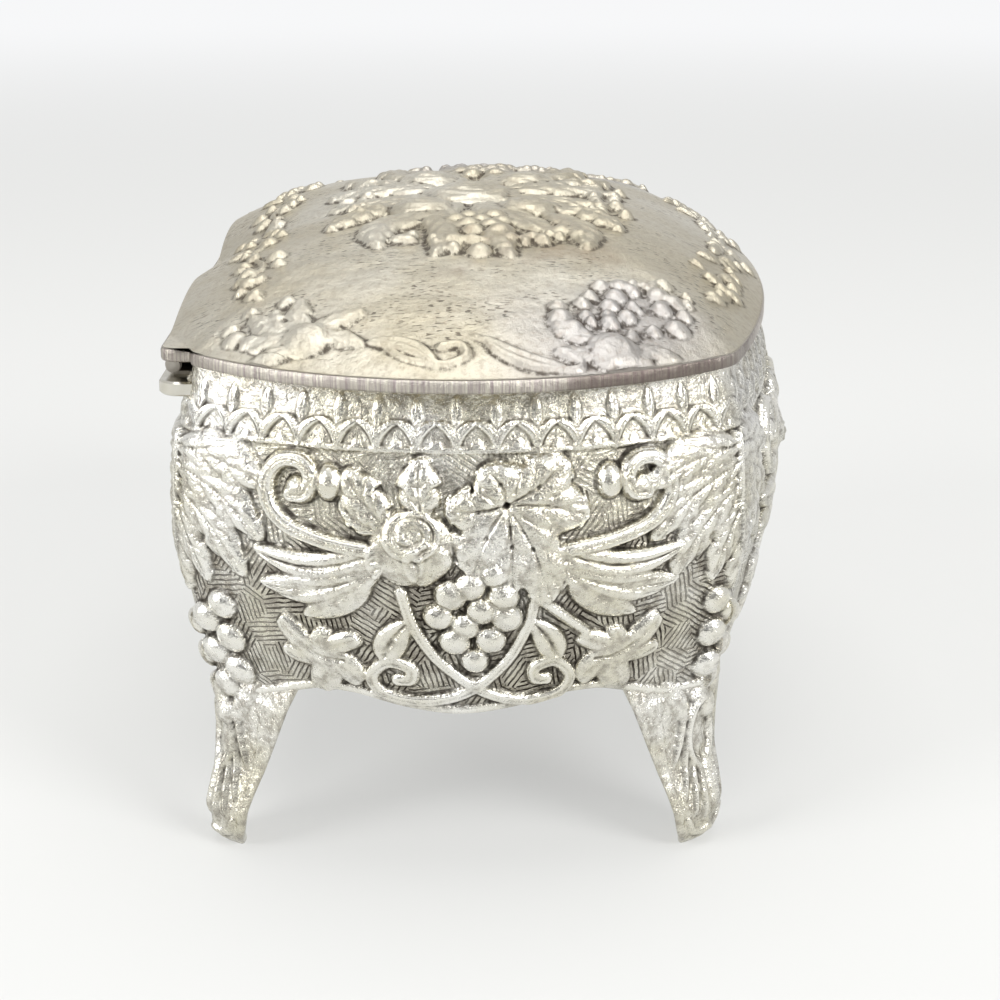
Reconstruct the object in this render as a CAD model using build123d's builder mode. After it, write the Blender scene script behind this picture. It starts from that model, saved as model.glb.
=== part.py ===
from build123d import *
import math
import os

# A footed trinket box of cast white metal with a hinged, domed lid.
# X runs along the hinge, +Y points to the hinged rear, +Z is up.
# The origin is on the table, under the middle of the whole box. Sizes are in millimetres.

# Plan of the body at its rim, to the outer faces of the walls
corner_length = 121.4  # from one corner to the next, along the hinge
corner_depth = 79.0  # from the front corners to the rear wall
end_bow = 12.5  # how far each end wall bows out past its corners
front_bow = 10.0  # how far the front wall bows out past its corners
plan_corner_radius = 5.0
least_corner_radius = 0.5

# Walls
rim_height = 78.3
apron_height = 26.0  # of the lowest line of the walls
wall_thickness = 2.0
belly_swell = 3.7  # how far the walls swell out below the rim
foot_draw = 2.4  # how far they draw in again at the bottom
apron_rise = 2.6  # how far the apron arches up on each side of its middle
apron_wave = 1.1  # how far the arches sink again towards the middle
cut_margin = 1.0  # how far a cut runs past the face it starts from
frieze_height = 68.4  # of the raised line under the frieze
frieze_line_width = 0.9
frieze_line_lift = 0.4

# Ledge cast inside the walls, and the base plate that lies on it
ledge_height = 30.0  # of its top
ledge_thickness = 1.4
ledge_width = 3.0
base_thickness = 1.0
base_clearance = 0.2

# Feet, one under each corner, as sections from the table upwards
# Each section: height, spread along each wall, depth along the diagonal, how far its point stands out
foot_sections = [
    (0.0, 3.4, 3.6, -2.6),
    (1.2, 5.4, 4.8, -1.0),
    (3.0, 7.0, 5.8, -0.1),
    (6.5, 8.4, 6.6, 0.4),
    (9.5, 9.0, 6.8, -0.4),
    (14.0, 10.2, 7.2, -1.7),
    (19.0, 12.4, 8.2, -2.0),
    (25.0, 15.4, 9.4, -2.0),
    (30.0, 17.4, 10.2, -2.8),
]
foot_rounding = 0.9

# Lid
lid_side_overhang = 2.0  # past the walls, at the corners
lid_end_bow = 19.0
lid_front_overhang = 1.6
lid_front_bow = 10.0
lid_front_radius = 8.0
lid_rear_radius = 2.5
lid_edge_thickness = 2.1
lid_edge_rounding = 0.5
dome_height = 12.5
dome_inset = 0.99  # the dome starts at this fraction of the lid's outline
lid_wall = 2.0
lip_depth = 1.8
lip_thickness = 1.2
lip_clearance = 0.5
lip_setback = 0.3  # from the inside of the lip to the lid's hollow

# Hinge, in the gap between the rear flanges of the body and the lid
flange_depth = 5.4  # of the body's flange, past the rear wall
flange_thickness = 2.2
flange_inset = 0.5  # the lid's flange ends this much before the body's
hinge_gap = 3.0
hinge_end_inset = 5.2  # the hinge starts this far in from the ends of the flanges
barrel_radius = 1.25
pin_radius = 0.7
pin_clearance = 0.05
leaf_thickness = 0.5
leaf_wall_clearance = 0.3
knuckle_count = 7
knuckle_gap = 0.3
axis_inset = 1.35  # from the rear edge of the lid's flange to the pin
leaf_notch = 1.2  # each leaf stops this far from the pin beside the other's knuckles
pin_head_radius = 1.1
pin_head_length = 0.6

# Lining of velvet over card
floor_card_thickness = 1.0
card_thickness = 0.8
velvet_thickness = 0.8
lining_clearance = 0.1
lining_gap = 0.3  # between neighbouring panels
lining_drop = 2.6  # from the rim to the top of the lining
floor_velvet_thickness = 2.2
floor_velvet_rounding = 0.8
lid_card_thickness = 1.0
lid_card_recess = 1.2  # of the card's underside, above the rim
lid_card_clearance = 0.2
lid_velvet_rounding = 0.4

# Relief cast on the outside: bunches of grapes and roses
grape_radius = 2.0
grape_pitch = 4.3
grape_row_pitch = 3.8
corner_bunch_counts = [3, 2, 1]  # grapes in each row, from the top
corner_bunch_height = 42.5  # of the top row
corner_bunch_inset = 8.5  # from the corner, along the end wall
end_bunch_counts = [4, 3, 2, 1]
end_bunch_height = 44.5
rose_radius = 6.0
rose_lift = 2.6
front_rose_height = 51.0
end_rose_height = 54.3
end_rose_offset = 9.3  # from the middle of the end wall, towards the rear
lid_rose_radius = 5.0
lid_rose_lift = 1.4
lid_rose_reach = 0.8  # of the way from the lid's middle to its corners
crown_radius = 14.0  # of the low boss in the middle of the lid
crown_lift = 1.6


def swell(height):
    """How far the outer face of a wall stands out from the rim's outline at a height."""
    down = (rim_height - height) / (rim_height - apron_height)
    return belly_swell * math.sin(math.pi * down) - foot_draw * down**2


# Sizes that follow from those above
corner_x = corner_length / 2
front_rose_reach = front_bow + swell(front_rose_height) + rose_lift
total_depth = corner_depth + front_rose_reach + flange_depth
rear_edge_y = total_depth / 2
rear_wall_y = rear_edge_y - flange_depth
front_corner_y = rear_wall_y - corner_depth
middle_y = (rear_wall_y + front_corner_y) / 2
end_bow_radius = (corner_depth**2 / 4 + end_bow**2) / (2 * end_bow)
end_bow_centre_x = corner_x + end_bow - end_bow_radius
front_bow_radius = (corner_length**2 / 4 + front_bow**2) / (2 * front_bow)
front_bow_centre_y = front_corner_y - front_bow + front_bow_radius
flange_top = rim_height - hinge_gap
lid_flange_y = rear_edge_y - flange_inset
pin_y = lid_flange_y - axis_inset
pin_z = rim_height - hinge_gap / 2
hinge_half = corner_x - hinge_end_inset
knuckle_length = (2 * hinge_half - (knuckle_count - 1) * knuckle_gap) / knuckle_count
floor_card_height = ledge_height + base_thickness
lining_height = floor_card_height + floor_card_thickness
dome_base = rim_height + lid_edge_thickness
lid_centre = Vector(0, middle_y - front_bow / 2)
lid_cavity_inset = wall_thickness + lip_clearance + lip_thickness + lip_setback


def grown_corners(grow):
    """The right-hand corners of the plan, rear then front, with every wall moved outwards."""
    end_radius = end_bow_radius + grow
    front_radius = front_bow_radius + grow
    rear_y = rear_wall_y + grow
    rear_x = end_bow_centre_x + math.sqrt(end_radius**2 - (rear_y - middle_y) ** 2)
    # The front corner is where the end wall's circle meets the front wall's
    across = Vector(-end_bow_centre_x, front_bow_centre_y - middle_y)
    apart = across.length
    along = (end_radius**2 - front_radius**2 + apart**2) / (2 * apart)
    aside = math.sqrt(end_radius**2 - along**2)
    towards = across.normalized()
    front_x = end_bow_centre_x + towards.X * along + towards.Y * aside
    front_y = middle_y + towards.Y * along - towards.X * aside
    return (rear_x, rear_y), (front_x, front_y)


def body_plan(height, grow):
    """The body's plan outline at a height, with every wall moved outwards by a distance."""
    (rear_x, rear_y), (front_x, front_y) = grown_corners(grow)
    end_x = corner_x + end_bow + grow
    with BuildSketch(Plane.XY.offset(height)) as plan:
        with BuildLine():
            Line((rear_x, rear_y), (-rear_x, rear_y))
            ThreePointArc((-rear_x, rear_y), (-end_x, middle_y), (-front_x, front_y))
            ThreePointArc(
                (-front_x, front_y), (0, front_corner_y - front_bow - grow), (front_x, front_y)
            )
            ThreePointArc((front_x, front_y), (end_x, middle_y), (rear_x, rear_y))
        make_face()
        fillet(plan.vertices(), max(plan_corner_radius + grow, least_corner_radius))
    return plan.sketch


def wall_form(inset, low, high):
    """The sections of the swelling body, inset from its outer face, between two heights."""
    heights = [low + (high - low) * step / 8 for step in range(9)]
    return [body_plan(height, swell(height) - inset) for height in heights]


def lid_plan(height, scale):
    """The lid's outline at a height, without its flange, scaled about the lid's middle."""
    half = corner_x + lid_side_overhang
    front = front_corner_y - lid_front_overhang
    with BuildSketch() as plan:
        with BuildLine():
            Line((half, rear_wall_y), (-half, rear_wall_y))
            ThreePointArc((-half, rear_wall_y), (-corner_x - lid_end_bow, middle_y), (-half, front))
            ThreePointArc((-half, front), (0, front - lid_front_bow), (half, front))
            ThreePointArc((half, front), (corner_x + lid_end_bow, middle_y), (half, rear_wall_y))
        make_face()
        fillet(plan.vertices().group_by(Axis.Y)[0], lid_front_radius)
        fillet(plan.vertices().group_by(Axis.Y)[-1], lid_rear_radius)
    moved = scaled(plan.sketch, scale)
    return Pos(0, 0, height) * moved


def lid_cavity_plan(height, scale):
    """The outline of the lid's hollow at a height, scaled about the lid's middle."""
    return Pos(0, 0, height) * scaled(body_plan(0, -lid_cavity_inset), scale)


def cavity_top(scale):
    """How high the lid's hollow reaches where its outline has shrunk to a scale."""
    across = scale * (corner_x - lid_cavity_inset) / (corner_x + lid_side_overhang)
    return dome_base + dome_rise(across) - lid_wall


def scaled(sketch, scale):
    """A sketch scaled about the lid's middle."""
    at_middle = Pos(-lid_centre.X, -lid_centre.Y) * sketch
    return Pos(lid_centre.X, lid_centre.Y) * (at_middle.scale(scale))


def dome_rise(scale):
    """How high the dome stands where the lid's outline has shrunk to a scale."""
    return dome_height * (1 - scale**3)


dome_steps = [0.93, 0.84, 0.72, 0.58, 0.42, 0.26, 0.1]

# Corner points of the plan, the directions along both walls from each, and the way out of the corner
end_slope = 2 * math.atan(2 * end_bow / corner_depth)
front_slope = 2 * math.atan(2 * front_bow / corner_length)


def corner_frame(side, rear):
    """A corner's point, the unit directions along its end wall and side wall, and outwards."""
    point = Vector(side * corner_x, rear_wall_y if rear else front_corner_y)
    slope = 0 if rear else front_slope
    inwards = -1 if rear else 1
    along_end = Vector(side * math.sin(end_slope), inwards * math.cos(end_slope))
    along_side = Vector(-side * math.cos(slope), -inwards * math.sin(slope))
    outwards = (along_end + along_side).normalized() * -1
    return point, along_end, along_side, outwards


def foot(side, rear):
    """One cabriole foot, lofted through kite-shaped sections with their points at the corner."""
    point, along_end, along_side, outwards = corner_frame(side, rear)
    sections = []
    for height, spread, depth, out in foot_sections:
        tip = point + outwards * out
        with BuildSketch(Plane.XY.offset(height)) as kite:
            with BuildLine():
                Polyline(
                    tip,
                    tip + along_end * spread,
                    tip - outwards * depth,
                    tip + along_side * spread,
                    close=True,
                )
            make_face()
            fillet(kite.vertices(), foot_rounding)
        sections.append(kite.sketch)
    return loft(sections)


def apron_arches(plane, centre, reach):
    """What the apron's arches take away, seen along a plane's normal."""
    low = apron_height - cut_margin
    high = apron_height + apron_rise
    with BuildSketch(plane) as arches:
        with BuildLine():
            curve = Spline(
                (centre - reach * 1.2, low),
                (centre - reach * 0.8, high),
                (centre - reach * 0.35, high - apron_wave),
                (centre, apron_height),
                (centre + reach * 0.35, high - apron_wave),
                (centre + reach * 0.8, high),
                (centre + reach * 1.2, low),
            )
            Line(curve @ 1, curve @ 0)
        make_face()
    return arches.sketch


def end_wall_point(side, along, height, lift):
    """A point off an end wall, at a distance along its bow from the middle, towards the rear."""
    radius = end_bow_radius + swell(height) + lift
    angle = along / end_bow_radius
    x = side * (end_bow_centre_x + radius * math.cos(angle))
    return (x, middle_y + radius * math.sin(angle), height)


def bunch(side, along, top, counts):
    """The middles of the grapes of one bunch on an end wall."""
    points = []
    for row, count in enumerate(counts):
        for grape in range(count):
            across = along + (grape - (count - 1) / 2) * grape_pitch
            points.append(end_wall_point(side, across, top - row * grape_row_pitch, 0))
    return points


def cap_radius(radius, lift):
    """The radius of the ball whose cap has a width and a lift."""
    return (radius**2 + lift**2) / (2 * lift)


feet = [foot(side, rear) for rear in (True, False) for side in (-1, 1)]

# Body casting: walls, rear flange, ledge and four feet in one piece
end_bow_reach = end_bow_radius * math.asin(corner_depth / 2 / end_bow_radius)
rose_ball = cap_radius(rose_radius, rose_lift)
rose_depth = rose_lift - rose_ball
with BuildPart() as body_casting:
    loft(wall_form(0, apron_height, rim_height))
    # Roses and bunches of grapes stand on the walls
    with Locations(
        (0, front_corner_y - front_bow - swell(front_rose_height) - rose_depth, front_rose_height),
        end_wall_point(-1, end_rose_offset, end_rose_height, rose_depth),
        end_wall_point(1, end_rose_offset, end_rose_height, rose_depth),
    ):
        Sphere(rose_ball)
    for side in (-1, 1):
        with Locations(bunch(side, 0, end_bunch_height, end_bunch_counts)):
            Sphere(grape_radius)
        for along in (corner_bunch_inset - end_bow_reach, end_bow_reach - corner_bunch_inset):
            with Locations(bunch(side, along, corner_bunch_height, corner_bunch_counts)):
                Sphere(grape_radius)
    # Raised line under the frieze
    extrude(
        body_plan(frieze_height, swell(frieze_height) + frieze_line_lift),
        amount=frieze_line_width,
    )
    # Rear flange that carries the hinge
    with BuildSketch(Plane.XY.offset(flange_top)) as flange:
        with Locations((0, (rear_wall_y + rear_edge_y) / 2 - wall_thickness / 4)):
            Rectangle(corner_length, flange_depth + wall_thickness / 2)
        fillet(flange.vertices().group_by(Axis.Y)[-1], lid_rear_radius)
    extrude(flange.sketch, amount=-flange_thickness)
    # Apron arches under the ends, the front and the rear
    end_reach = corner_depth * 0.34
    side_reach = corner_length * 0.36
    extrude(
        apron_arches(Plane.YZ, middle_y, end_reach),
        amount=corner_length,
        both=True,
        mode=Mode.SUBTRACT,
    )
    extrude(
        apron_arches(Plane.XZ, 0, side_reach),
        amount=total_depth,
        both=True,
        mode=Mode.SUBTRACT,
    )
    # Inside, above the ledge and below it
    loft(wall_form(wall_thickness, ledge_height, rim_height + cut_margin), mode=Mode.SUBTRACT)
    loft(
        wall_form(wall_thickness, apron_height - cut_margin, ledge_height - ledge_thickness),
        mode=Mode.SUBTRACT,
    )
    extrude(
        body_plan(apron_height, swell(ledge_height) - wall_thickness - ledge_width),
        amount=ledge_height,
        mode=Mode.SUBTRACT,
    )
    add(feet)

# Base plate, dropped in from above onto the ledge
with BuildPart() as base_plate:
    extrude(
        body_plan(ledge_height, swell(ledge_height) - wall_thickness - base_clearance),
        amount=base_thickness,
    )

# Floor lining: a card with a softly rounded velvet pad on it
lining_inset = wall_thickness - swell(lining_height) + lining_clearance
with BuildPart() as floor_card:
    extrude(
        body_plan(floor_card_height, -lining_inset - lining_clearance * 4),
        amount=floor_card_thickness,
    )

with BuildPart() as floor_velvet:
    extrude(
        body_plan(lining_height, -lining_inset - card_thickness - velvet_thickness - lining_gap),
        amount=floor_velvet_thickness,
    )
    fillet(floor_velvet.faces().sort_by(Axis.Z)[-1].edges(), floor_velvet_rounding)


# Wall linings: each wall has a card, and a velvet strip in front of it
def lining_wedge(wall):
    """The share of the plan that one wall's lining takes, up to the mitres at its corners."""
    at_rear = wall == "rear"
    ends = {
        "rear": [(-1, True), (1, True)],
        "front": [(1, False), (-1, False)],
        "left": [(-1, False), (-1, True)],
        "right": [(1, True), (1, False)],
    }[wall]
    beyond = {
        "rear": (0, total_depth),
        "front": (0, -total_depth),
        "left": (-corner_length, middle_y),
        "right": (corner_length, middle_y),
    }[wall]
    first, _, _, first_out = corner_frame(*ends[0])
    last, _, _, last_out = corner_frame(*ends[1])
    reach = corner_depth * 0.3
    with BuildSketch(Plane.XY.offset(lining_height)) as wedge:
        with BuildLine():
            Polyline(
                first + first_out * reach,
                first - first_out * reach,
                last - last_out * reach,
                last + last_out * reach,
                beyond,
                close=True,
            )
        make_face()
        offset(amount=-lining_gap / 2)
    return wedge.sketch


def lining_strip(wall, inset, thickness):
    """The plan of one wall's strip of lining, between two distances from the wall."""
    outer = body_plan(lining_height, -inset)
    inner = body_plan(lining_height, -inset - thickness)
    return (outer - inner) & lining_wedge(wall)


strip_height = rim_height - lining_drop - lining_height
wall_cards = {}
wall_velvets = {}
for wall in ("front", "rear", "left", "right"):
    with BuildPart() as card:
        extrude(lining_strip(wall, lining_inset, card_thickness), amount=strip_height)
    with BuildPart() as velvet:
        extrude(
            lining_strip(wall, lining_inset + card_thickness, velvet_thickness),
            amount=strip_height,
        )
    wall_cards[wall] = card
    wall_velvets[wall] = velvet

# Bosses on the dome: a low one in the middle and a rose towards each corner
def lid_boss(x, y, surface, radius, lift):
    """One boss: the cap of a ball, standing proud of the dome by its lift."""
    ball_radius = cap_radius(radius, lift)
    ball = Pos(x, y, surface + lift - ball_radius) * Sphere(ball_radius)
    room = Pos(x, y, surface + lift) * Box(4 * radius, 4 * radius, 4 * lift)
    return ball & room


lid_bosses = [lid_boss(lid_centre.X, lid_centre.Y, dome_base + dome_height, crown_radius, crown_lift)]
for side in (-1, 1):
    for corner_y in (front_corner_y - lid_front_overhang, rear_wall_y):
        x = side * (corner_x + lid_side_overhang) * lid_rose_reach
        y = lid_centre.Y + (corner_y - lid_centre.Y) * lid_rose_reach
        surface = dome_base + dome_rise(lid_rose_reach)
        lid_bosses.append(lid_boss(x, y, surface, lid_rose_radius, lid_rose_lift))

# Lid casting: thin edge, rear flange, hollow dome and locating lip in one piece
with BuildPart() as lid_casting:
    with BuildSketch(Plane.XY.offset(rim_height)) as lid_edge:
        add(lid_plan(0, 1))
        with Locations((0, (rear_wall_y + lid_flange_y) / 2 - wall_thickness)):
            Rectangle(corner_length, lid_flange_y - rear_wall_y + wall_thickness * 2)
        fillet(lid_edge.vertices().group_by(Axis.Y)[-1], lid_rear_radius)
    extrude(lid_edge.sketch, amount=lid_edge_thickness)
    fillet(lid_casting.faces().sort_by(Axis.Z)[-1].outer_wire().edges(), lid_edge_rounding)
    loft(
        [lid_plan(dome_base, dome_inset)]
        + [lid_plan(dome_base + dome_rise(scale), scale) for scale in dome_steps]
    )
    add(lid_bosses)
    extrude(lid_cavity_plan(rim_height, 1), amount=cavity_top(1) - rim_height, mode=Mode.SUBTRACT)
    loft(
        [lid_cavity_plan(cavity_top(scale), scale) for scale in [1] + dome_steps],
        mode=Mode.SUBTRACT,
    )
    lip_inset = wall_thickness + lip_clearance
    with BuildSketch(Plane.XY.offset(rim_height)) as lip:
        add(body_plan(0, -lip_inset))
        add(body_plan(0, -lip_inset - lip_thickness), mode=Mode.SUBTRACT)
    extrude(lip.sketch, amount=-lip_depth)

# Lid lining: a card pressed up into the dome, faced with velvet
lid_lining_inset = lid_cavity_inset + lid_card_clearance
with BuildPart() as lid_card:
    extrude(
        body_plan(rim_height + lid_card_recess, -lid_lining_inset),
        amount=lid_card_thickness,
    )

with BuildPart() as lid_velvet:
    extrude(body_plan(rim_height, -lid_lining_inset), amount=lid_card_recess)
    fillet(lid_velvet.faces().sort_by(Axis.Z)[0].edges(), lid_velvet_rounding)


# Hinge: two leaves whose knuckles take turns along one pin
def knuckle_start(number):
    """Where one knuckle starts along X."""
    return -hinge_half + number * (knuckle_length + knuckle_gap)


def hinge_leaf(plate_height, own):
    """One hinge leaf, with its own knuckles rolled round the pin's bore."""
    others = [number for number in range(knuckle_count) if number not in own]
    front = rear_wall_y + swell(flange_top) + leaf_wall_clearance
    with BuildPart() as leaf:
        with BuildSketch(Plane.XY.offset(plate_height)) as plate:
            with Locations((0, (front + pin_y) / 2)):
                Rectangle(2 * hinge_half, pin_y - front)
            for number in others:
                middle = knuckle_start(number) + knuckle_length / 2
                with Locations((middle, pin_y - leaf_notch / 2)):
                    Rectangle(knuckle_length + 2 * knuckle_gap, leaf_notch, mode=Mode.SUBTRACT)
        extrude(plate.sketch, amount=leaf_thickness)
        for number in own:
            with BuildSketch(Plane.YZ.offset(knuckle_start(number))) as barrel:
                with Locations((pin_y, pin_z)):
                    Circle(barrel_radius)
            extrude(barrel.sketch, amount=knuckle_length)
        with BuildSketch(Plane.YZ.offset(-corner_x)) as bore:
            with Locations((pin_y, pin_z)):
                Circle(pin_radius + pin_clearance)
        extrude(bore.sketch, amount=corner_length, mode=Mode.SUBTRACT)
    return leaf


hinge_leaf_body = hinge_leaf(flange_top, [0, 2, 4, 6])
hinge_leaf_lid = hinge_leaf(rim_height - leaf_thickness, [1, 3, 5])

with BuildPart() as hinge_pin:
    pin_half = hinge_half + knuckle_gap / 2
    with BuildSketch(Plane.YZ.offset(-pin_half)) as shank:
        with Locations((pin_y, pin_z)):
            Circle(pin_radius)
    extrude(shank.sketch, amount=2 * pin_half)
    for place, length in ((pin_half, pin_head_length), (-pin_half, -pin_head_length)):
        with BuildSketch(Plane.YZ.offset(place)) as head:
            with Locations((pin_y, pin_z)):
                Circle(pin_head_radius)
        extrude(head.sketch, amount=length)

# One file for each piece
pieces = {
    "body_casting": body_casting,
    "base_plate": base_plate,
    "hinge_leaf_body": hinge_leaf_body,
    "hinge_leaf_lid": hinge_leaf_lid,
    "hinge_pin": hinge_pin,
    "floor_card": floor_card,
    "floor_velvet": floor_velvet,
    "lid_casting": lid_casting,
    "lid_card": lid_card,
    "lid_velvet": lid_velvet,
}
for wall in wall_cards:
    pieces[wall + "_wall_card"] = wall_cards[wall]
    pieces[wall + "_wall_velvet"] = wall_velvets[wall]

os.makedirs("parts", exist_ok=True)
for name, piece in pieces.items():
    piece.part.label = name
    export_step(piece.part, "parts/" + name + ".step")
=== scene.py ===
import math

import bpy
import numpy as np
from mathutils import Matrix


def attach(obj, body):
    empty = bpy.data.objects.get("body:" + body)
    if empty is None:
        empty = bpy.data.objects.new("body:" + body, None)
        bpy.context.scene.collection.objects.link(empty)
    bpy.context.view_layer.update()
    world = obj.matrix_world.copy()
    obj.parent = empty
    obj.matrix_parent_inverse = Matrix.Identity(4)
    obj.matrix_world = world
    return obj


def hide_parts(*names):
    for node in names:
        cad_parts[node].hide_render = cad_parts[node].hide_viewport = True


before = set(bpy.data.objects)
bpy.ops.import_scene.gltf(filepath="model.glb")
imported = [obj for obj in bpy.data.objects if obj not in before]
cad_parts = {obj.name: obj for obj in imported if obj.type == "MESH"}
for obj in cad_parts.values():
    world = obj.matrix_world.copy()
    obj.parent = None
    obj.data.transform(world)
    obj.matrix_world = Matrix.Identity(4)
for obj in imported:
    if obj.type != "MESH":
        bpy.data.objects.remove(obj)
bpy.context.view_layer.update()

mm = 0.001
print("frame loaded")

# Plan of the box, in millimetres
box = {
    "cornerX": 60.7,  # half the length from corner to corner
    "rearWall": 44.62,
    "frontCorner": -34.38,
    "endBow": 12.5,
    "frontBow": 10.0,
    "cornerRadius": 5.0,
    "rim": 78.3,
    "lowest": 26.0,  # of the apron
    "wall": 2.0,
    "belly": 3.7,
    "middleGrow": 2.2,  # how far the walls stand out on average, for spacing their columns
    "footDraw": 2.4,
    "frontRose": 3.4,  # how far the rose in the middle of each long wall stands out
    "rearRose": 1.4,
}
boxDepth = box["rearWall"] - box["frontCorner"]
middleY = (box["rearWall"] + box["frontCorner"]) / 2
endRadius = (boxDepth**2 / 4 + box["endBow"] ** 2) / (2 * box["endBow"])
endCentre = box["cornerX"] + box["endBow"] - endRadius
frontRadius = (box["cornerX"] ** 2 + box["frontBow"] ** 2) / (2 * box["frontBow"])
frontCentreY = box["frontCorner"] - box["frontBow"] + frontRadius


def swell(height):
    # A half sine wave down the wall, less the square of the way down, which draws the foot in
    down = (box["rim"] - height) / (box["rim"] - box["lowest"])
    return box["belly"] * np.sin(np.pi * down) - box["footDraw"] * down**2


def cornerArcs(grow):
    # Fillets of the left-hand corners: each centre lies where the two walls, moved in by the
    # fillet's radius, cross. Angles are those of the outward normals where the fillet ends.
    radius = np.maximum(box["cornerRadius"] + grow, 0.5)
    rearY = box["rearWall"] + grow - radius
    rearX = -endCentre - np.sqrt((endRadius + grow - radius) ** 2 - (rearY - middleY) ** 2)
    rearAngle = np.arctan2(rearY - middleY, rearX + endCentre)
    inner, outer = endRadius + grow - radius, frontRadius + grow - radius
    apart = math.hypot(endCentre, frontCentreY - middleY)
    towardsX, towardsY = -endCentre / apart, (frontCentreY - middleY) / apart
    along = (inner**2 - outer**2 + apart**2) / (2 * apart)
    aside = np.sqrt(inner**2 - along**2)
    frontX = -(endCentre + towardsX * along + towardsY * aside)
    frontY = middleY + towardsY * along - towardsX * aside
    frontAngle = np.arctan2(frontY - middleY, frontX + endCentre) + 2 * np.pi
    sideAngle = np.arctan2(frontY - frontCentreY, frontX) + 2 * np.pi
    return {
        "radius": radius,
        "rear": (rearX, rearY, np.pi / 2 + 0 * rearAngle, rearAngle),
        "front": (frontX, frontY, frontAngle, sideAngle),
    }


def stretches(wall, grow):
    # The three stretches of one wall, left to right from outside: half a fillet, the wall, half a fillet.
    # Each is (centre x, centre y, radius, first angle, last angle); the straight rear wall has no radius.
    arcs = cornerArcs(grow)
    radius = arcs["radius"]
    rx, ry, r0, r1 = arcs["rear"]
    fx, fy, f0, f1 = arcs["front"]
    rearMiddle, frontMiddle = (r0 + r1) / 2, (f0 + f1) / 2
    turn = 3 * np.pi
    nearEnd = [
        (rx, ry, radius, rearMiddle, r1),
        (-endCentre + 0 * rx, middleY + 0 * rx, endRadius + grow, r1, f0),
        (fx, fy, radius, f0, frontMiddle),
    ]
    if wall == "nearEnd":
        return nearEnd
    if wall == "farEnd":
        return [(-cx, cy, r, turn - last, turn - first) for cx, cy, r, first, last in nearEnd[::-1]]
    if wall == "front":
        return [
            (fx, fy, radius, frontMiddle, f1),
            (0 * fx, frontCentreY + 0 * fx, frontRadius + grow, f1, turn - f1),
            (-fx, fy, radius, turn - f1, turn - frontMiddle),
        ]
    return [
        (-rx, ry, radius, np.pi - rearMiddle, r0),
        (rx, box["rearWall"] + grow, None, r0, r0),
        (rx, ry, radius, r0, rearMiddle),
    ]


def followWall(wall, parts, grow):
    # Points and outward normals along a wall. parts holds (stretch number, share along it) by column,
    # grow is rows by columns. run is the true length from the wall's left-hand end.
    shape = grow.shape
    x, y, nx, ny, run, total = (np.zeros(shape) for _ in range(6))
    for number, (cx, cy, radius, first, last) in enumerate(stretches(wall, grow)):
        length = 2 * np.abs(cx) if radius is None else radius * (last - first)
        mine = parts[0] == number
        share = np.broadcast_to(parts[1], shape)[:, mine]
        if radius is None:
            x[:, mine] = (-cx + 2 * cx * parts[1])[:, mine]
            y[:, mine], ny[:, mine] = cy[:, mine], 1.0
        else:
            angle = first[:, mine] + (last - first)[:, mine] * share
            nx[:, mine], ny[:, mine] = np.cos(angle), np.sin(angle)
            x[:, mine] = cx[:, mine] + radius[:, mine] * nx[:, mine]
            y[:, mine] = cy[:, mine] + radius[:, mine] * ny[:, mine]
        run[:, mine] = total[:, mine] + length[:, mine] * share
        total = total + length
    return {"px": x, "py": y, "nx": nx, "ny": ny, "run": run, "total": total}


def columnParts(wall, step):
    # The columns of each stretch of a wall for a spacing: stretch numbers, and shares along them
    numbers, shares = [], []
    for number, (cx, cy, radius, first, last) in enumerate(stretches(wall, np.array(box["middleGrow"]))):
        length = 2 * abs(cx) if radius is None else radius * (last - first)
        count = max(2, int(round(float(length) / step)))
        share = np.arange(count + (number == 2)) / count
        numbers += [number] * len(share)
        shares += list(share)
    return np.array(numbers), np.array(shares)


walls = ("nearEnd", "front", "farEnd", "rear")


def planLoop(grow, step):
    # The whole outline as one closed loop of points and normals, for a few heights at once
    loops = []
    for wall in walls:
        numbers, shares = columnParts(wall, step)
        spread = np.repeat(grow[:, None], len(numbers) - 1, 1)
        loops.append(followWall(wall, (numbers[:-1], shares[:-1]), spread))
    return {key: np.hstack([loop[key] for loop in loops]) for key in ("px", "py", "nx", "ny")}


# Mesh helpers
def gridFaces(rows, columns, start=0, closed=False, flip=False):
    # Quads of a grid whose rows are loops or strips of points
    i = np.arange(rows - 1)[:, None]
    j = np.arange(columns if closed else columns - 1)[None, :]
    k = (j + 1) % columns
    quads = np.stack([i * columns + j, i * columns + k, (i + 1) * columns + k, (i + 1) * columns + j], -1)
    quads = quads.reshape(-1, 4) + start
    return quads[:, ::-1] if flip else quads


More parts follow.
